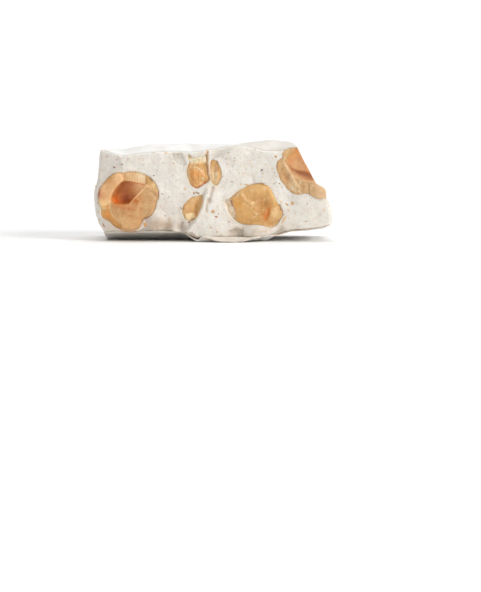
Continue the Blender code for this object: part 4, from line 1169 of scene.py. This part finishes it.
# ------------------------------------------------------------------------------------------ wafer sheets
def build_wafer(name, upper):
    nu, nv = 236, 120
    # closer rows along the edges
    t = np.linspace(0, 1, nu)
    eu = t - 0.055 * np.sin(2 * math.pi * t)
    t = np.linspace(0, 1, nv)
    ev = t - 0.075 * np.sin(2 * math.pi * t)
    u, v = np.meshgrid(eu, ev)
    w = np.full(u.shape, 1.0 if upper else 0.0)
    x, y, z = place(u, v, w, 0.0, 0.0)
    # uneven edges: a little short of the nougat in some places and past it in others
    du, dv = np.minimum(u, 1 - u) * W0, np.minimum(v, 1 - v) * D0
    fade_u, fade_v = np.exp(-du / 1.6), np.exp(-dv / 1.6)
    seed = 3.0 if upper else 8.0
    rag = 0.22 * perlin(x, y, 0, 2.4, 50 + seed) + 0.13 * perlin(x, y, 0, 0.7, 51 + seed)
    front_edge = smooth((0.5 - v) * 20)
    if upper:
        inset_u = 0.15 + 0 * x
        inset_v = 0.15 + 0.35 * front_edge
    else:
        tongue = smooth((x + 4.4) / 2.6) * (1 - smooth((x - 9.4) / 2.4))
        away = smooth((-x - 3.5) / 3.0) + smooth((x - 12.0) / 2.5)
        inset_v = 0.15 + away * front_edge * (1.7 + 0.5 * perlin(x, 0, 0, 3.1, 65))
        inset_u = 0.45 + 0 * x
    x = x + np.sign(0.5 - u) * fade_u * (inset_u + rag)
    y = y + np.sign(0.5 - v) * np.exp(-dv / np.maximum(1.6, 2.2 * inset_v)) * (inset_v + rag)
    if upper:
        z0 = top(x, y)
        droop = 0.20 * np.exp(-dv / 0.45) + 0.16 * np.exp(-du / 0.5)
        crinkle = 0.075 * fbm(x, y, 0, 3.4, 3, 57) + 0.022 * perlin(x, y, 0, 0.55, 58)
        blister, who = cells(x, y, 0 * x, 5.0, 4)
        crinkle = crinkle + 0.12 * smooth((0.42 - blister) / 0.42) * (who > 0.45)
        # soft dimples over the right end
        crinkle = crinkle - 0.22 * bell(x, y, 9.0, -9.0, 3.5, 2.6, 20) - 0.20 * bell(x, y, 15.5, -10.5, 2.6, 1.8, -20) + 0.12 * bell(x, y, 12.5, -12.5, 3.0, 1.4, 10)
        zt = z0 - droop + crinkle * smooth((dv + 0.15) / 1.2)
        zb = zt - SHEET * (0.60 + 0.40 * smooth(np.minimum(du, dv) / 0.5))
    else:
        z0 = under(x, y)
        flat = smooth((x + 3.0) / 1.5) * (1 - smooth((x - 12.0) / 1.2))
        wave = 0.06 * fbm(x, y, 0, 3.0, 2, 59) * (1 - flat)
        reach = 1.2 + 2.1 * np.clip(1.0 - ((x - 4.4) / 8.6) ** 2, 0, 1) + 0.40 * perlin(x, 0, 0, 3.0, 55) + 0.32 * perlin(x, 0, 0, 0.8, 56)
        y = y - tongue * reach * np.clip(1 - v / 0.16, 0, 1) ** 1.3
        past = smooth((FACE + 0.2 - y) / 2.2)
        curl = tongue * past * (0.14 + 0.20 * perlin(x, y, 0, 3.4, 60))
        curl = curl + past * np.interp(x, (-6.0, -4.2, -3.4, -2.0, 0.3, 2.8), (0.0, 0.9, 1.1, 0.8, 0.3, 0.0))
        zb = np.maximum(0.0, z0 + np.maximum(wave, -0.04) + np.maximum(0, curl))
        zt = zb + SHEET * (0.45 + 0.55 * smooth(np.minimum(du, dv) / 0.5)) + 0.04 * np.maximum(0, perlin(x, y, 0, 0.6, 62))
        # nougat still sticks to the tongue where it comes out from under the block
        zt = zt + tongue * 0.75 * smooth((y + 17.8) / 2.6) * (1 - smooth((y + 12.6) / 2.0)) * (1 - smooth((x - 6.5) / 4.0))
    A = np.stack([x, y, np.maximum(zt, zb + 0.05)], -1)
    B = np.stack([x, y, zb], -1)
    # colour: white, a trace of light brown at the edges where oil has crept in; the grey over the top sheet's front
    # right and the brown at the bottom sheet's front edge under the raised right end are painted shade
    edge = np.exp(-np.minimum(du, dv) / 0.35)
    base = (lin(234, 233, 231) if upper else lin(236, 232, 225)) + np.zeros(x.shape + (3,))
    col = blend(base, lin(224, 206, 180), (0.22 if upper else 0.55) * edge * smooth(perlin(x, y, 0, 4.0, 63) + 0.45))
    cloud = smooth(fbm(x, y, 0, 4.0, 3, 64))
    col = blend(col, lin(218, 213, 204) if upper else lin(226, 216, 202), 0.55 * cloud)
    if upper:
        # painted shade over the top sheet's front right
        col = blend(col, lin(208, 199, 186), 0.80 * smooth((x - 3.0) / 6.0) * (1 - smooth((y + 6.0) / 5.0)) * (0.65 + 0.35 * cloud))
    else:
        # painted shade on the bottom sheet's front edge under the raised right end
        col = blend(col, lin(222, 196, 170), 0.7 * smooth((x - 13.0) / 3.0) * np.exp(-dv / 1.2))
        col = blend(col, lin(206, 190, 174), 0.55 * tongue * smooth((-y - 15.4) / 1.6))
    col = blend(col, lin(222, 196, 162), 0.8 * np.exp(-((1 - v) * D0) / 0.5) * smooth((x + 17.5) / 3.0) * smooth((8.0 - x) / 8.0))
    verts = np.concatenate([A.reshape(-1, 3), B.reshape(-1, 3)])
    colours = np.concatenate([col.reshape(-1, 3)] * 2)
    f1 = grid_faces(nv, nu, False)
    f2 = grid_faces(nv, nu, False, nu * nv, flip=True)
    idx = np.arange(nu * nv).reshape(nv, nu)
    rim = np.concatenate([idx[0, :-1], idx[:-1, -1], idx[-1, :0:-1], idx[:0:-1, 0]])
    nxt = np.roll(rim, -1)
    f3 = np.stack([nxt, rim, rim + nu * nv, nxt + nu * nv], -1)
    return mesh_from(name, verts, np.concatenate([f1, f2, f3]), colours)


# ------------------------------------------------------------------------------------------ crumbs
def chunk(rng, size, stretch):
    """One irregular grain: 42 points round a centre."""
    import bmesh
    bm = bmesh.new()
    bmesh.ops.create_icosphere(bm, subdivisions=2, radius=1.0)
    co = np.array([v.co[:] for v in bm.verts])
    tris = np.array([[v.index for v in f.verts] for f in bm.faces])
    bm.free()
    off = rng.uniform(0, 50)
    k = 1 + 0.35 * perlin(co[:, 0], co[:, 1], co[:, 2], 0.9, off) + 0.2 * perlin(co[:, 0], co[:, 1], co[:, 2], 0.4, off + 1)
    return co * k[:, None] * np.array(stretch) * size, tris


# On the front: p, q, length and width in plan units, turn, colour
GRAINS = [
    (114, 167, 2.0, 0.8, 40, (150, 98, 66)), (122.3, 164, 1.0, 0.8, 0, (150, 110, 80)), (102.6, 225.4, 2.6, 0.6, 62, (168, 100, 70)),
    (194.0, 192.8, 1.4, 1.0, 80, (178, 134, 90)), (196.8, 192.2, 1.4, 1.0, 50, (158, 116, 74)), (198.6, 193.0, 1.2, 0.8, 20, (140, 98, 64)),
    (185.3, 188.3, 2.4, 1.6, 20, (226, 202, 170)), (213.0, 211.2, 2.1, 1.9, 0, (206, 166, 122)), (216.4, 216.2, 1.7, 0.7, 15, (186, 120, 82)),
    (218.6, 213.6, 1.3, 0.5, 110, (198, 134, 92)), (247.0, 184.3, 2.4, 0.9, -20, (208, 166, 108)), (241.6, 184.0, 1.6, 0.9, 25, (226, 196, 154)),
    (261.8, 169.8, 1.2, 0.8, 10, (112, 64, 44)), (263.2, 173.4, 1.3, 0.6, 35, (214, 184, 146)), (262.4, 176.6, 0.9, 0.6, 0, (218, 190, 150)),
    (276.0, 156.3, 1.5, 1.3, 0, (196, 146, 96)), (274.8, 172.4, 1.1, 0.9, 40, (204, 180, 150)), (279.6, 183.2, 0.8, 0.7, 0, (160, 112, 84)),
    (282.2, 186.6, 1.2, 0.8, 60, (212, 186, 156)), (274.4, 183.4, 0.9, 0.7, 0, (170, 130, 102)), (287.0, 204.2, 2.1, 1.0, 30, (206, 162, 116)),
    (292.4, 203.0, 2.4, 1.9, -10, (208, 172, 132)), (288.6, 210.0, 1.2, 0.8, 10, (222, 184, 140)), (281.5, 201.5, 1.1, 1.6, 0, (230, 198, 156)),
    (284.6, 218.4, 3.2, 1.0, -60, (226, 186, 134)), (282.6, 222.0, 1.8, 0.6, -40, (222, 178, 124)), (306.3, 220.8, 1.5, 0.7, -25, (196, 150, 128)),
    (307.4, 203.3, 0.8, 0.8, 0, (190, 146, 108)), (284.0, 214.4, 1.0, 0.4, -60, (140, 70, 52)), (144.6, 224.3, 2.2, 2.0, 30, (224, 166, 98)),
    (153.8, 175.4, 0.9, 0.7, 0, (130, 104, 84)), (162.6, 193.6, 1.4, 0.9, 10, (190, 176, 156)), (168.8, 196.8, 1.1, 0.6, 10, (188, 164, 138)),
    (171.4, 201.2, 0.9, 0.5, 0, (206, 170, 136)), (183.7, 193.4, 1.0, 1.0, 0, (222, 196, 168)), (226.8, 158.4, 0.9, 0.8, 0, (214, 172, 134)),
    (234.8, 157.8, 0.9, 0.8, 0, (196, 166, 132)), (234.2, 160.6, 0.8, 0.7, 0, (216, 186, 144)), (227.4, 163.6, 0.8, 0.7, 0, (220, 190, 150)),
    (228.6, 152.4, 0.6, 0.6, 0, (170, 130, 100)), (255.6, 149.0, 0.8, 0.8, 0, (214, 180, 144)), (261.4, 152.4, 0.8, 0.7, 0, (222, 190, 150)),
    (277.4, 150.6, 0.8, 0.8, 0, (214, 186, 156)), (230.4, 171.4, 0.7, 0.6, 0, (216, 184, 152)), (239.4, 172.8, 1.1, 0.8, 0, (216, 200, 178)),
    (232.2, 181.4, 0.9, 0.7, 0, (206, 176, 156)), (221.4, 186.4, 1.0, 0.9, 0, (224, 198, 164)), (229.6, 221.4, 1.2, 0.9, -20, (208, 180, 156)),
    (217.4, 231.4, 0.8, 0.8, 0, (212, 170, 126)), (219.4, 225.4, 0.8, 0.6, 0, (222, 190, 160)), (210.8, 227.0, 1.6, 0.6, 30, (206, 170, 144)),
    (243.2, 226.8, 1.0, 0.9, 0, (224, 186, 140)), (246.6, 233.2, 0.7, 0.6, 0, (200, 160, 124)), (262.4, 230.8, 0.9, 0.7, 0, (220, 188, 150)),
    (165.4, 215.4, 1.0, 0.8, 20, (158, 130, 108)), (169.2, 218.8, 0.8, 0.8, 0, (212, 176, 130)), (169.4, 221.4, 0.8, 0.7, 0, (200, 164, 126)),
    (188.8, 221.8, 1.8, 0.7, -15, (160, 118, 98)), (184.0, 207.4, 1.3, 0.7, 0, (170, 120, 84)), (181.0, 207.8, 1.2, 0.8, 50, (176, 156, 140)),
    (116.6, 159.6, 1.1, 0.7, 10, (196, 160, 136)), (128.0, 158.4, 0.7, 0.6, 0, (200, 164, 138)), (153.8, 152.2, 1.0, 0.8, 0, (222, 180, 136)),
    (166.4, 152.4, 1.4, 0.9, 40, (236, 196, 140)), (163.0, 162.6, 1.0, 0.8, 0, (218, 178, 156)), (157.2, 169.8, 0.9, 0.7, 0, (206, 190, 170)),
    (178.2, 154.4, 1.2, 0.7, 0, (200, 184, 172)), (173.0, 175.4, 0.8, 0.7, 0, (216, 186, 156)), (182.5, 222.6, 1.3, 0.7, -20, (168, 134, 110)),
    (302.2, 213.6, 0.7, 0.6, 0, (214, 190, 164)), (324.0, 209.4, 1.2, 0.8, 0, (224, 200, 166)), (308.4, 211.4, 1.0, 0.7, 0, (226, 202, 170)),
    (313.6, 219.0, 1.6, 0.6, -10, (228, 206, 176)), (316.4, 223.8, 1.8, 0.6, -8, (226, 204, 174)),
]


def build_crumbs(body):
    from mathutils.bvhtree import BVHTree
    me = body.data
    tree = BVHTree.FromPolygons([v.co[:] for v in me.vertices], [tuple(f.vertices) for f in me.polygons])
    rng = np.random.RandomState(11)
    V, T, C = [], [], []
    count = 0

    def land(pt, inward):
        """Where a line through pt meets the nougat from outside, and its normal there; mm."""
        start = (pt - inward * 6.0 + SHIFT) * MM
        hit, normal, _, dist = tree.ray_cast(Vector(start), Vector(inward), 0.012)
        if hit is None:
            return None, None
        return np.array(hit) / MM - SHIFT, np.array(normal)

    def add(centre, normal, turn, size, colour):
        nonlocal count
        side = np.cross([0, 0, 1.0], normal)
        side /= np.linalg.norm(side) + 1e-9
        up = np.cross(normal, side)
        e1 = side * math.cos(turn) + up * math.sin(turn)
        e2 = -side * math.sin(turn) + up * math.cos(turn)
        co, tris = chunk(rng, 1.0, size)
        pts = centre - normal * size[2] * 0.45 + co @ np.array([e1, e2, normal])
        V.append(pts)
        T.append(tris + count)
        C.append(np.repeat(lin(*colour)[None], len(pts), 0))
        count += len(pts)

    for p, q, length, width, turn, colour in GRAINS:
        pt, inward = np.array([float(px(p)), FACE, float(pz(q))]), np.array([0, 1.0, 0])
        hit, normal = land(pt, inward)
        if hit is not None:
            add(hit, normal, math.radians(-turn), (length * UNIT * 1.02, width * UNIT * 1.08, min(0.22, width * UNIT * 0.5)), colour)
    shades = [(214, 176, 128), (222, 190, 150), (196, 148, 100), (160, 108, 72), (232, 208, 172), (206, 168, 126), (132, 82, 54)]
    chance = [0.26, 0.24, 0.14, 0.09, 0.16, 0.08, 0.03]
    for face, n, (a0, a1), (b0, b1) in (("front", 170, (-27, 27), (3, 21.8)), ("back", 330, (-26, 24), (1.5, 22)),
                                       ("left", 150, (-13.5, 13.5), (3, 21)), ("right", 150, (-13.5, 13.5), (4.5, 21.5))):
        point, inward = FACES[face]
        for _ in range(n):
            a, b = rng.uniform(a0, a1), rng.uniform(b0, b1)
            size = 0.06 + 0.15 * rng.beta(1.2, 3.5) if face == "front" else 0.09 + 0.34 * rng.beta(1.1, 3.2)
            turn, long, pick = rng.uniform(0, math.pi), rng.uniform(1.0, 1.9), rng.choice(len(shades), p=chance)
            if (face == "front" and a > 26.0) or (face == "right" and a < -11.5):
                continue
            if any(float(sd(np.array([a]), np.array([b]), line[::3])[0]) < 0.35 for line in OUTLINES[face]):
                continue
            hit, normal = land(point(np.array([a]), np.array([b]))[0], inward)
            if hit is None or abs(float(normal @ inward)) < 0.6 or abs(hit[2] - b) > 1.0:
                continue
            tone = np.array(shades[pick], float)
            if face == "front":
                # the break's finest grains sit under a film of nougat, so they look paler
                tone += (np.array([232.0, 222.0, 208.0]) - tone) * 0.4
            add(hit, normal, turn, (size * long, size / long**0.4, size * 0.8), tuple(tone))
    return mesh_from("nut_crumbs", np.concatenate(V), np.concatenate(T), np.concatenate(C))


# ------------------------------------------------------------------------------------------ materials
def node_material(name):
    mat = bpy.data.materials.new(name)
    mat.use_nodes = True
    nt = mat.node_tree
    shader = nt.nodes["Principled BSDF"]
    return mat, nt, shader


def link(nt, a, b):
    nt.links.new(a, b)


def noise_tex(nt, coord, scale, detail=4.0, rough=0.55):
    n = nt.nodes.new("ShaderNodeTexNoise")
    n.inputs["Scale"].default_value = scale
    n.inputs["Detail"].default_value = detail
    n.inputs["Roughness"].default_value = rough
    link(nt, coord, n.inputs["Vector"])
    return n


def ramp(nt, value, stops):
    r = nt.nodes.new("ShaderNodeValToRGB")
    r.color_ramp.elements[0].position = stops[0][0]
    r.color_ramp.elements[0].color = (*stops[0][1], 1)
    r.color_ramp.elements[1].position = stops[-1][0]
    r.color_ramp.elements[1].color = (*stops[-1][1], 1)
    for pos, c in stops[1:-1]:
        e = r.color_ramp.elements.new(pos)
        e.color = (*c, 1)
    link(nt, value, r.inputs["Fac"])
    return r


def mix_rgb(nt, mode, fac, a, b):
    m = nt.nodes.new("ShaderNodeMix")
    m.data_type = "RGBA"
    m.blend_type = mode
    if isinstance(fac, float):
        m.inputs[0].default_value = fac
    else:
        link(nt, fac, m.inputs[0])
    for src, sock in ((a, m.inputs[6]), (b, m.inputs[7])):
        if isinstance(src, tuple):
            sock.default_value = (*src, 1)
        else:
            link(nt, src, sock)
    return m.outputs[2]


def remap(nt, value, lo, hi, to_lo, to_hi):
    r = nt.nodes.new("ShaderNodeMapRange")
    r.inputs["From Min"].default_value = lo
    r.inputs["From Max"].default_value = hi
    r.inputs["To Min"].default_value = to_lo
    r.inputs["To Max"].default_value = to_hi
    link(nt, value, r.inputs["Value"])
    return r.outputs["Result"]


def tint(nt):
    a = nt.nodes.new("ShaderNodeAttribute")
    a.attribute_name = "tint"
    return a.outputs["Color"]


def bump_chain(nt, shader, pairs):
    last = None
    for value, strength, distance in pairs:
        b = nt.nodes.new("ShaderNodeBump")
        b.inputs["Strength"].default_value = strength
        b.inputs["Distance"].default_value = distance
        link(nt, value, b.inputs["Height"])
        if last is not None:
            link(nt, last, b.inputs["Normal"])
        last = b.outputs["Normal"]
    link(nt, last, shader.inputs["Normal"])


def nougat_material():
    mat, nt, sh = node_material("nougat_break")
    co = nt.nodes.new("ShaderNodeTexCoord").outputs["Object"]
    fine = noise_tex(nt, co, 3200.0, 4.0, 0.6)
    mid = noise_tex(nt, co, 900.0, 5.0, 0.6)
    broad = noise_tex(nt, co, 220.0, 4.0, 0.5)
    vor = nt.nodes.new("ShaderNodeTexVoronoi")
    vor.inputs["Scale"].default_value = 1500.0
    link(nt, co, vor.inputs["Vector"])
    pore = remap(nt, vor.outputs["Distance"], 0.08, 0.30, 0.0, 1.0)
    pick = nt.nodes.new("ShaderNodeSeparateColor")
    link(nt, vor.outputs["Color"], pick.inputs["Color"])
    # only some cells hold a pore, and fewer hold a grain of nut dust
    few = remap(nt, pick.outputs["Red"], 0.70, 0.74, 1.0, 0.0)
    pore_mask = nt.nodes.new("ShaderNodeMath"); pore_mask.operation = "MAXIMUM"
    link(nt, pore, pore_mask.inputs[0]); link(nt, few, pore_mask.inputs[1])
    grain_on = remap(nt, pick.outputs["Green"], 0.86, 0.88, 0.0, 1.0)
    grain_in = remap(nt, vor.outputs["Distance"], 0.10, 0.22, 1.0, 0.0)
    grain = nt.nodes.new("ShaderNodeMath"); grain.operation = "MULTIPLY"
    link(nt, grain_on, grain.inputs[0]); link(nt, grain_in, grain.inputs[1])
    g2 = nt.nodes.new("ShaderNodeMath"); g2.operation = "MULTIPLY"; g2.inputs[1].default_value = 0.7
    link(nt, grain.outputs[0], g2.inputs[0])
    col = mix_rgb(nt, "MULTIPLY", 1.0, tint(nt), ramp(nt, mid.outputs["Fac"], [(0.30, (0.955, 0.940, 0.920)), (0.55, (1.0, 1.0, 1.0)), (0.75, (1.03, 1.03, 1.02))]).outputs["Color"])
    col = mix_rgb(nt, "MULTIPLY", 1.0, col, ramp(nt, broad.outputs["Fac"], [(0.35, (0.97, 0.955, 0.935)), (0.62, (1.0, 1.0, 1.0))]).outputs["Color"])
    col = mix_rgb(nt, "MIX", g2.outputs[0], col, tuple(lin(202, 160, 112)))
    link(nt, col, sh.inputs["Base Color"])
    rough = ramp(nt, mid.outputs["Fac"], [(0.3, (0.50,) * 3), (0.7, (0.72,) * 3)])
    link(nt, rough.outputs["Color"], sh.inputs["Roughness"])
    sh.inputs["Subsurface Weight"].default_value = 0.35
    sh.inputs["Subsurface Radius"].default_value = (1.0, 0.72, 0.5)
    sh.inputs["Subsurface Scale"].default_value = 0.0013
    sh.inputs["Specular IOR Level"].default_value = 0.42
    bump_chain(nt, sh, [(pore_mask.outputs[0], 0.5, 0.00012), (mid.outputs["Fac"], 0.75, 0.00022), (fine.outputs["Fac"], 0.45, 0.00006)])
    return mat


def wafer_material():
    mat, nt, sh = node_material("edible_wafer")
    co = nt.nodes.new("ShaderNodeTexCoord").outputs["Object"]
    fine = noise_tex(nt, co, 2600.0, 3.0, 0.6)
    cloud = noise_tex(nt, co, 260.0, 4.0, 0.55)
    cell = nt.nodes.new("ShaderNodeTexVoronoi")
    cell.inputs["Scale"].default_value = 1100.0
    link(nt, co, cell.inputs["Vector"])
    col = mix_rgb(nt, "MULTIPLY", 1.0, tint(nt), ramp(nt, cloud.outputs["Fac"], [(0.3, (0.965, 0.955, 0.94)), (0.6, (1.0, 1.0, 1.0))]).outputs["Color"])
    link(nt, col, sh.inputs["Base Color"])
    r = ramp(nt, cloud.outputs["Fac"], [(0.3, (0.62,) * 3), (0.7, (0.80,) * 3)])
    link(nt, r.outputs["Color"], sh.inputs["Roughness"])
    sh.inputs["Subsurface Weight"].default_value = 0.25
    sh.inputs["Subsurface Radius"].default_value = (1.0, 0.85, 0.7)
    sh.inputs["Subsurface Scale"].default_value = 0.0006
    sh.inputs["Specular IOR Level"].default_value = 0.3
    bump_chain(nt, sh, [(cell.outputs["Distance"], 0.25, 0.00010), (fine.outputs["Fac"], 0.4, 0.00006)])
    return mat


def nut_material(name, seed, rough_lo=0.30, rough_hi=0.52, sss=0.30, bump=1.0, vary=1.0):
    mat, nt, sh = node_material(name)
    tc = nt.nodes.new("ShaderNodeTexCoord").outputs["Object"]
    mp = nt.nodes.new("ShaderNodeMapping")
    mp.inputs["Location"].default_value = (seed * 0.013, seed * 0.007, seed * 0.011)
    link(nt, tc, mp.inputs["Vector"])
    co = mp.outputs["Vector"]
    fine = noise_tex(nt, co, 2800.0, 4.0, 0.6)
    mid = noise_tex(nt, co, 1000.0, 4.0, 0.6)
    cloud = noise_tex(nt, co, 380.0, 4.0, 0.5)
    col = mix_rgb(nt, "MULTIPLY", vary, tint(nt), ramp(nt, mid.outputs["Fac"], [(0.28, (0.90, 0.85, 0.78)), (0.52, (1.0, 1.0, 1.0)), (0.76, (1.05, 1.06, 1.08))]).outputs["Color"])
    col = mix_rgb(nt, "MULTIPLY", vary, col, ramp(nt, cloud.outputs["Fac"], [(0.32, (0.93, 0.89, 0.83)), (0.6, (1.0, 1.0, 1.0))]).outputs["Color"])
    link(nt, col, sh.inputs["Base Color"])
    r = ramp(nt, cloud.outputs["Fac"], [(0.3, (rough_lo,) * 3), (0.7, (rough_hi,) * 3)])
    link(nt, r.outputs["Color"], sh.inputs["Roughness"])
    sh.inputs["Subsurface Weight"].default_value = sss
    sh.inputs["Subsurface Radius"].default_value = (1.0, 0.45, 0.22)
    sh.inputs["Subsurface Scale"].default_value = 0.0014
    sh.inputs["Specular IOR Level"].default_value = 0.5
    bump_chain(nt, sh, [(mid.outputs["Fac"], 0.40 * bump, 0.00015), (fine.outputs["Fac"], 0.35 * bump, 0.00005)])
    return mat


# ------------------------------------------------------------------------------------------ assemble
def finish_piece(obj, node, mat):
    obj.data.materials.append(mat)
    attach(obj, "root")
    if node:
        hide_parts(node)


m_nougat = nougat_material()
m_wafer = wafer_material()
body = build_nougat()
recalc(body)
finish_piece(body, "nougat", m_nougat)
for name, node, upper in (("wafer_sheet_top", "wafer_top", True), ("wafer_sheet_bottom", "wafer_bottom", False)):
    sheet = build_wafer(name, upper)
    recalc(sheet)
    finish_piece(sheet, node, m_wafer)

m_smooth = nut_material("hazelnut_smooth", 1, 0.30, 0.50, 0.30, 0.6)
m_rough = nut_material("hazelnut_broken", 5, 0.26, 0.50, 0.35, 1.3)
m_dry = nut_material("hazelnut_cut", 9, 0.38, 0.60, 0.28, 1.0)

FRONT_NUTS = [
    ("kernel_front_left", "nut_front_left", N1, (px(129), pz(201)), h_n1, c_n1, 6.0, dict(nseg=300, nring=58), m_smooth),
    ("kernel_front_mid", "nut_front_mid", N2, (px(197.5), pz(171)), h_n2, c_n2, 4.0, dict(nseg=180, nring=30, lid=0.45, shade=(0.90, 0.90, 0.88)), m_rough),
    ("kernel_front_sliver", "nut_front_sliver", N3, (px(215.5), pz(172)), h_n3, c_n3, 3.4, dict(nseg=160, nring=22), m_dry),
    ("kernel_front_ledge", "nut_front_ledge", N4, (px(193.0), pz(208)), h_n4, c_n4, 3.2, dict(nseg=160, nring=26), m_dry),
    ("kernel_front_right", "nut_front_right", N5, (px(254.0), pz(206)), h_n5, c_n5, 6.0, dict(nseg=300, nring=56, shade=(0.88, 0.86, 0.80)), m_rough),
]
for name, node, line, centre, hf, cf, deep, more, mat in FRONT_NUTS:
    centre = np.array([float(centre[0]), float(centre[1])])
    nut = build_nut(name, "front", line, centre, hf, cf, deep, **more)
    recalc(nut)
    finish_piece(nut, node, mat)
nut = build_nut("kernel_corner", "front", N6, np.array(C6), h_n6, c_n6, 6.0, nseg=300, nring=54, cut=cut_n6, wall=wall_n6, wall_paint=wall_paint_n6, body_rows=44, lid=0.45,
                shade=(0.92, 0.89, 0.84))
recalc(nut)
finish_piece(nut, "nut_corner", m_dry)

for i, (node, (face, ca, cb, ra, rb, turn, kind, deep)) in enumerate(MORE.items()):
    hf, cf = generic(kind, ca, cb, ra, rb, turn, 110 + 4.7 * i)
    fine = max(ra, rb) > 4
    nut = build_nut(node.replace("nut_", "kernel_"), face, MORE_OUTLINES[node], np.array([ca, cb]), hf, cf, deep,
                    nseg=220 if fine else 150, nring=40 if fine else 24)
    recalc(nut)
    finish_piece(nut, node, {"section": m_dry, "glassy": m_rough}.get(kind, m_smooth))

crumbs = build_crumbs(body)
recalc(crumbs)
finish_piece(crumbs, None, nut_material("hazelnut_crumb", 13, 0.45, 0.65, 0.0, 0.8, 0.3))

# ------------------------------------------------------------------------------------------ floor, light, camera
scene = bpy.context.scene
scene.view_settings.view_transform = "Standard"
scene.view_settings.look = "None"
scene.view_settings.exposure = 0.0
scene.view_settings.gamma = 1.0

world = bpy.data.worlds.new("studio") if scene.world is None else scene.world
scene.world = world
world.use_nodes = True
wnt = world.node_tree
fill = wnt.nodes["Background"]
fill.inputs["Color"].default_value = (1.0, 1.0, 1.0, 1.0)
fill.inputs["Strength"].default_value = 0.42
# the studio's white backdrop, brighter than the soft light that it gives
drop = wnt.nodes.new("ShaderNodeBackground")
drop.inputs["Color"].default_value = (1.0, 1.0, 1.0, 1.0)
drop.inputs["Strength"].default_value = 1.05
which = wnt.nodes.new("ShaderNodeLightPath")
both = wnt.nodes.new("ShaderNodeMixShader")
wnt.links.new(which.outputs["Is Camera Ray"], both.inputs["Fac"])
wnt.links.new(fill.outputs["Background"], both.inputs[1])
wnt.links.new(drop.outputs["Background"], both.inputs[2])
wnt.links.new(both.outputs["Shader"], wnt.nodes["World Output"].inputs["Surface"])

me = bpy.data.meshes.new("floor")
L = 3.0
me.from_pydata([(-L, -L, 0), (L, -L, 0), (L, L, 0), (-L, L, 0)], [], [(0, 1, 2, 3)])
floor = bpy.data.objects.new("floor", me)
scene.collection.objects.link(floor)
fm, fnt, fsh = node_material("floor_white")
fsh.inputs["Base Color"].default_value = (0.95, 0.95, 0.95, 1.0)
fsh.inputs["Roughness"].default_value = 0.6
fsh.inputs["Specular IOR Level"].default_value = 0.2
me.materials.append(fm)


def sun(name, towards, strength, angle, colour=(1, 1, 1)):
    """A distant soft light; towards is the direction from the slice to it."""
    data = bpy.data.lights.new(name, "SUN")
    data.energy = strength
    data.angle = math.radians(angle)
    data.color = colour
    obj = bpy.data.objects.new(name, data)
    obj.rotation_euler = Vector(towards).to_track_quat("Z", "Y").to_euler()
    scene.collection.objects.link(obj)
    return obj


sun("overhead", (0.05, 0.10, 1.0), 1.60, 60.0)
sun("key", (0.75, -0.62, 0.50), 1.55, 22.0, (1.0, 0.99, 0.97))

cam_data = bpy.data.cameras.new("camera")
cam_data.lens = 100.0
cam_data.sensor_width = 36.0
cam_data.sensor_fit = "AUTO"
cam_data.clip_start = 0.01
cam_data.clip_end = 20.0
cam = bpy.data.objects.new("camera", cam_data)
place_at = np.array([6.5, -409.7, 21.5]) + SHIFT
cam.location = tuple(place_at * MM)
cam.rotation_euler = (math.radians(90.0 - 5.0), 0.0, 0.0)
scene.collection.objects.link(cam)
scene.camera = cam

bpy.context.view_layer.update()
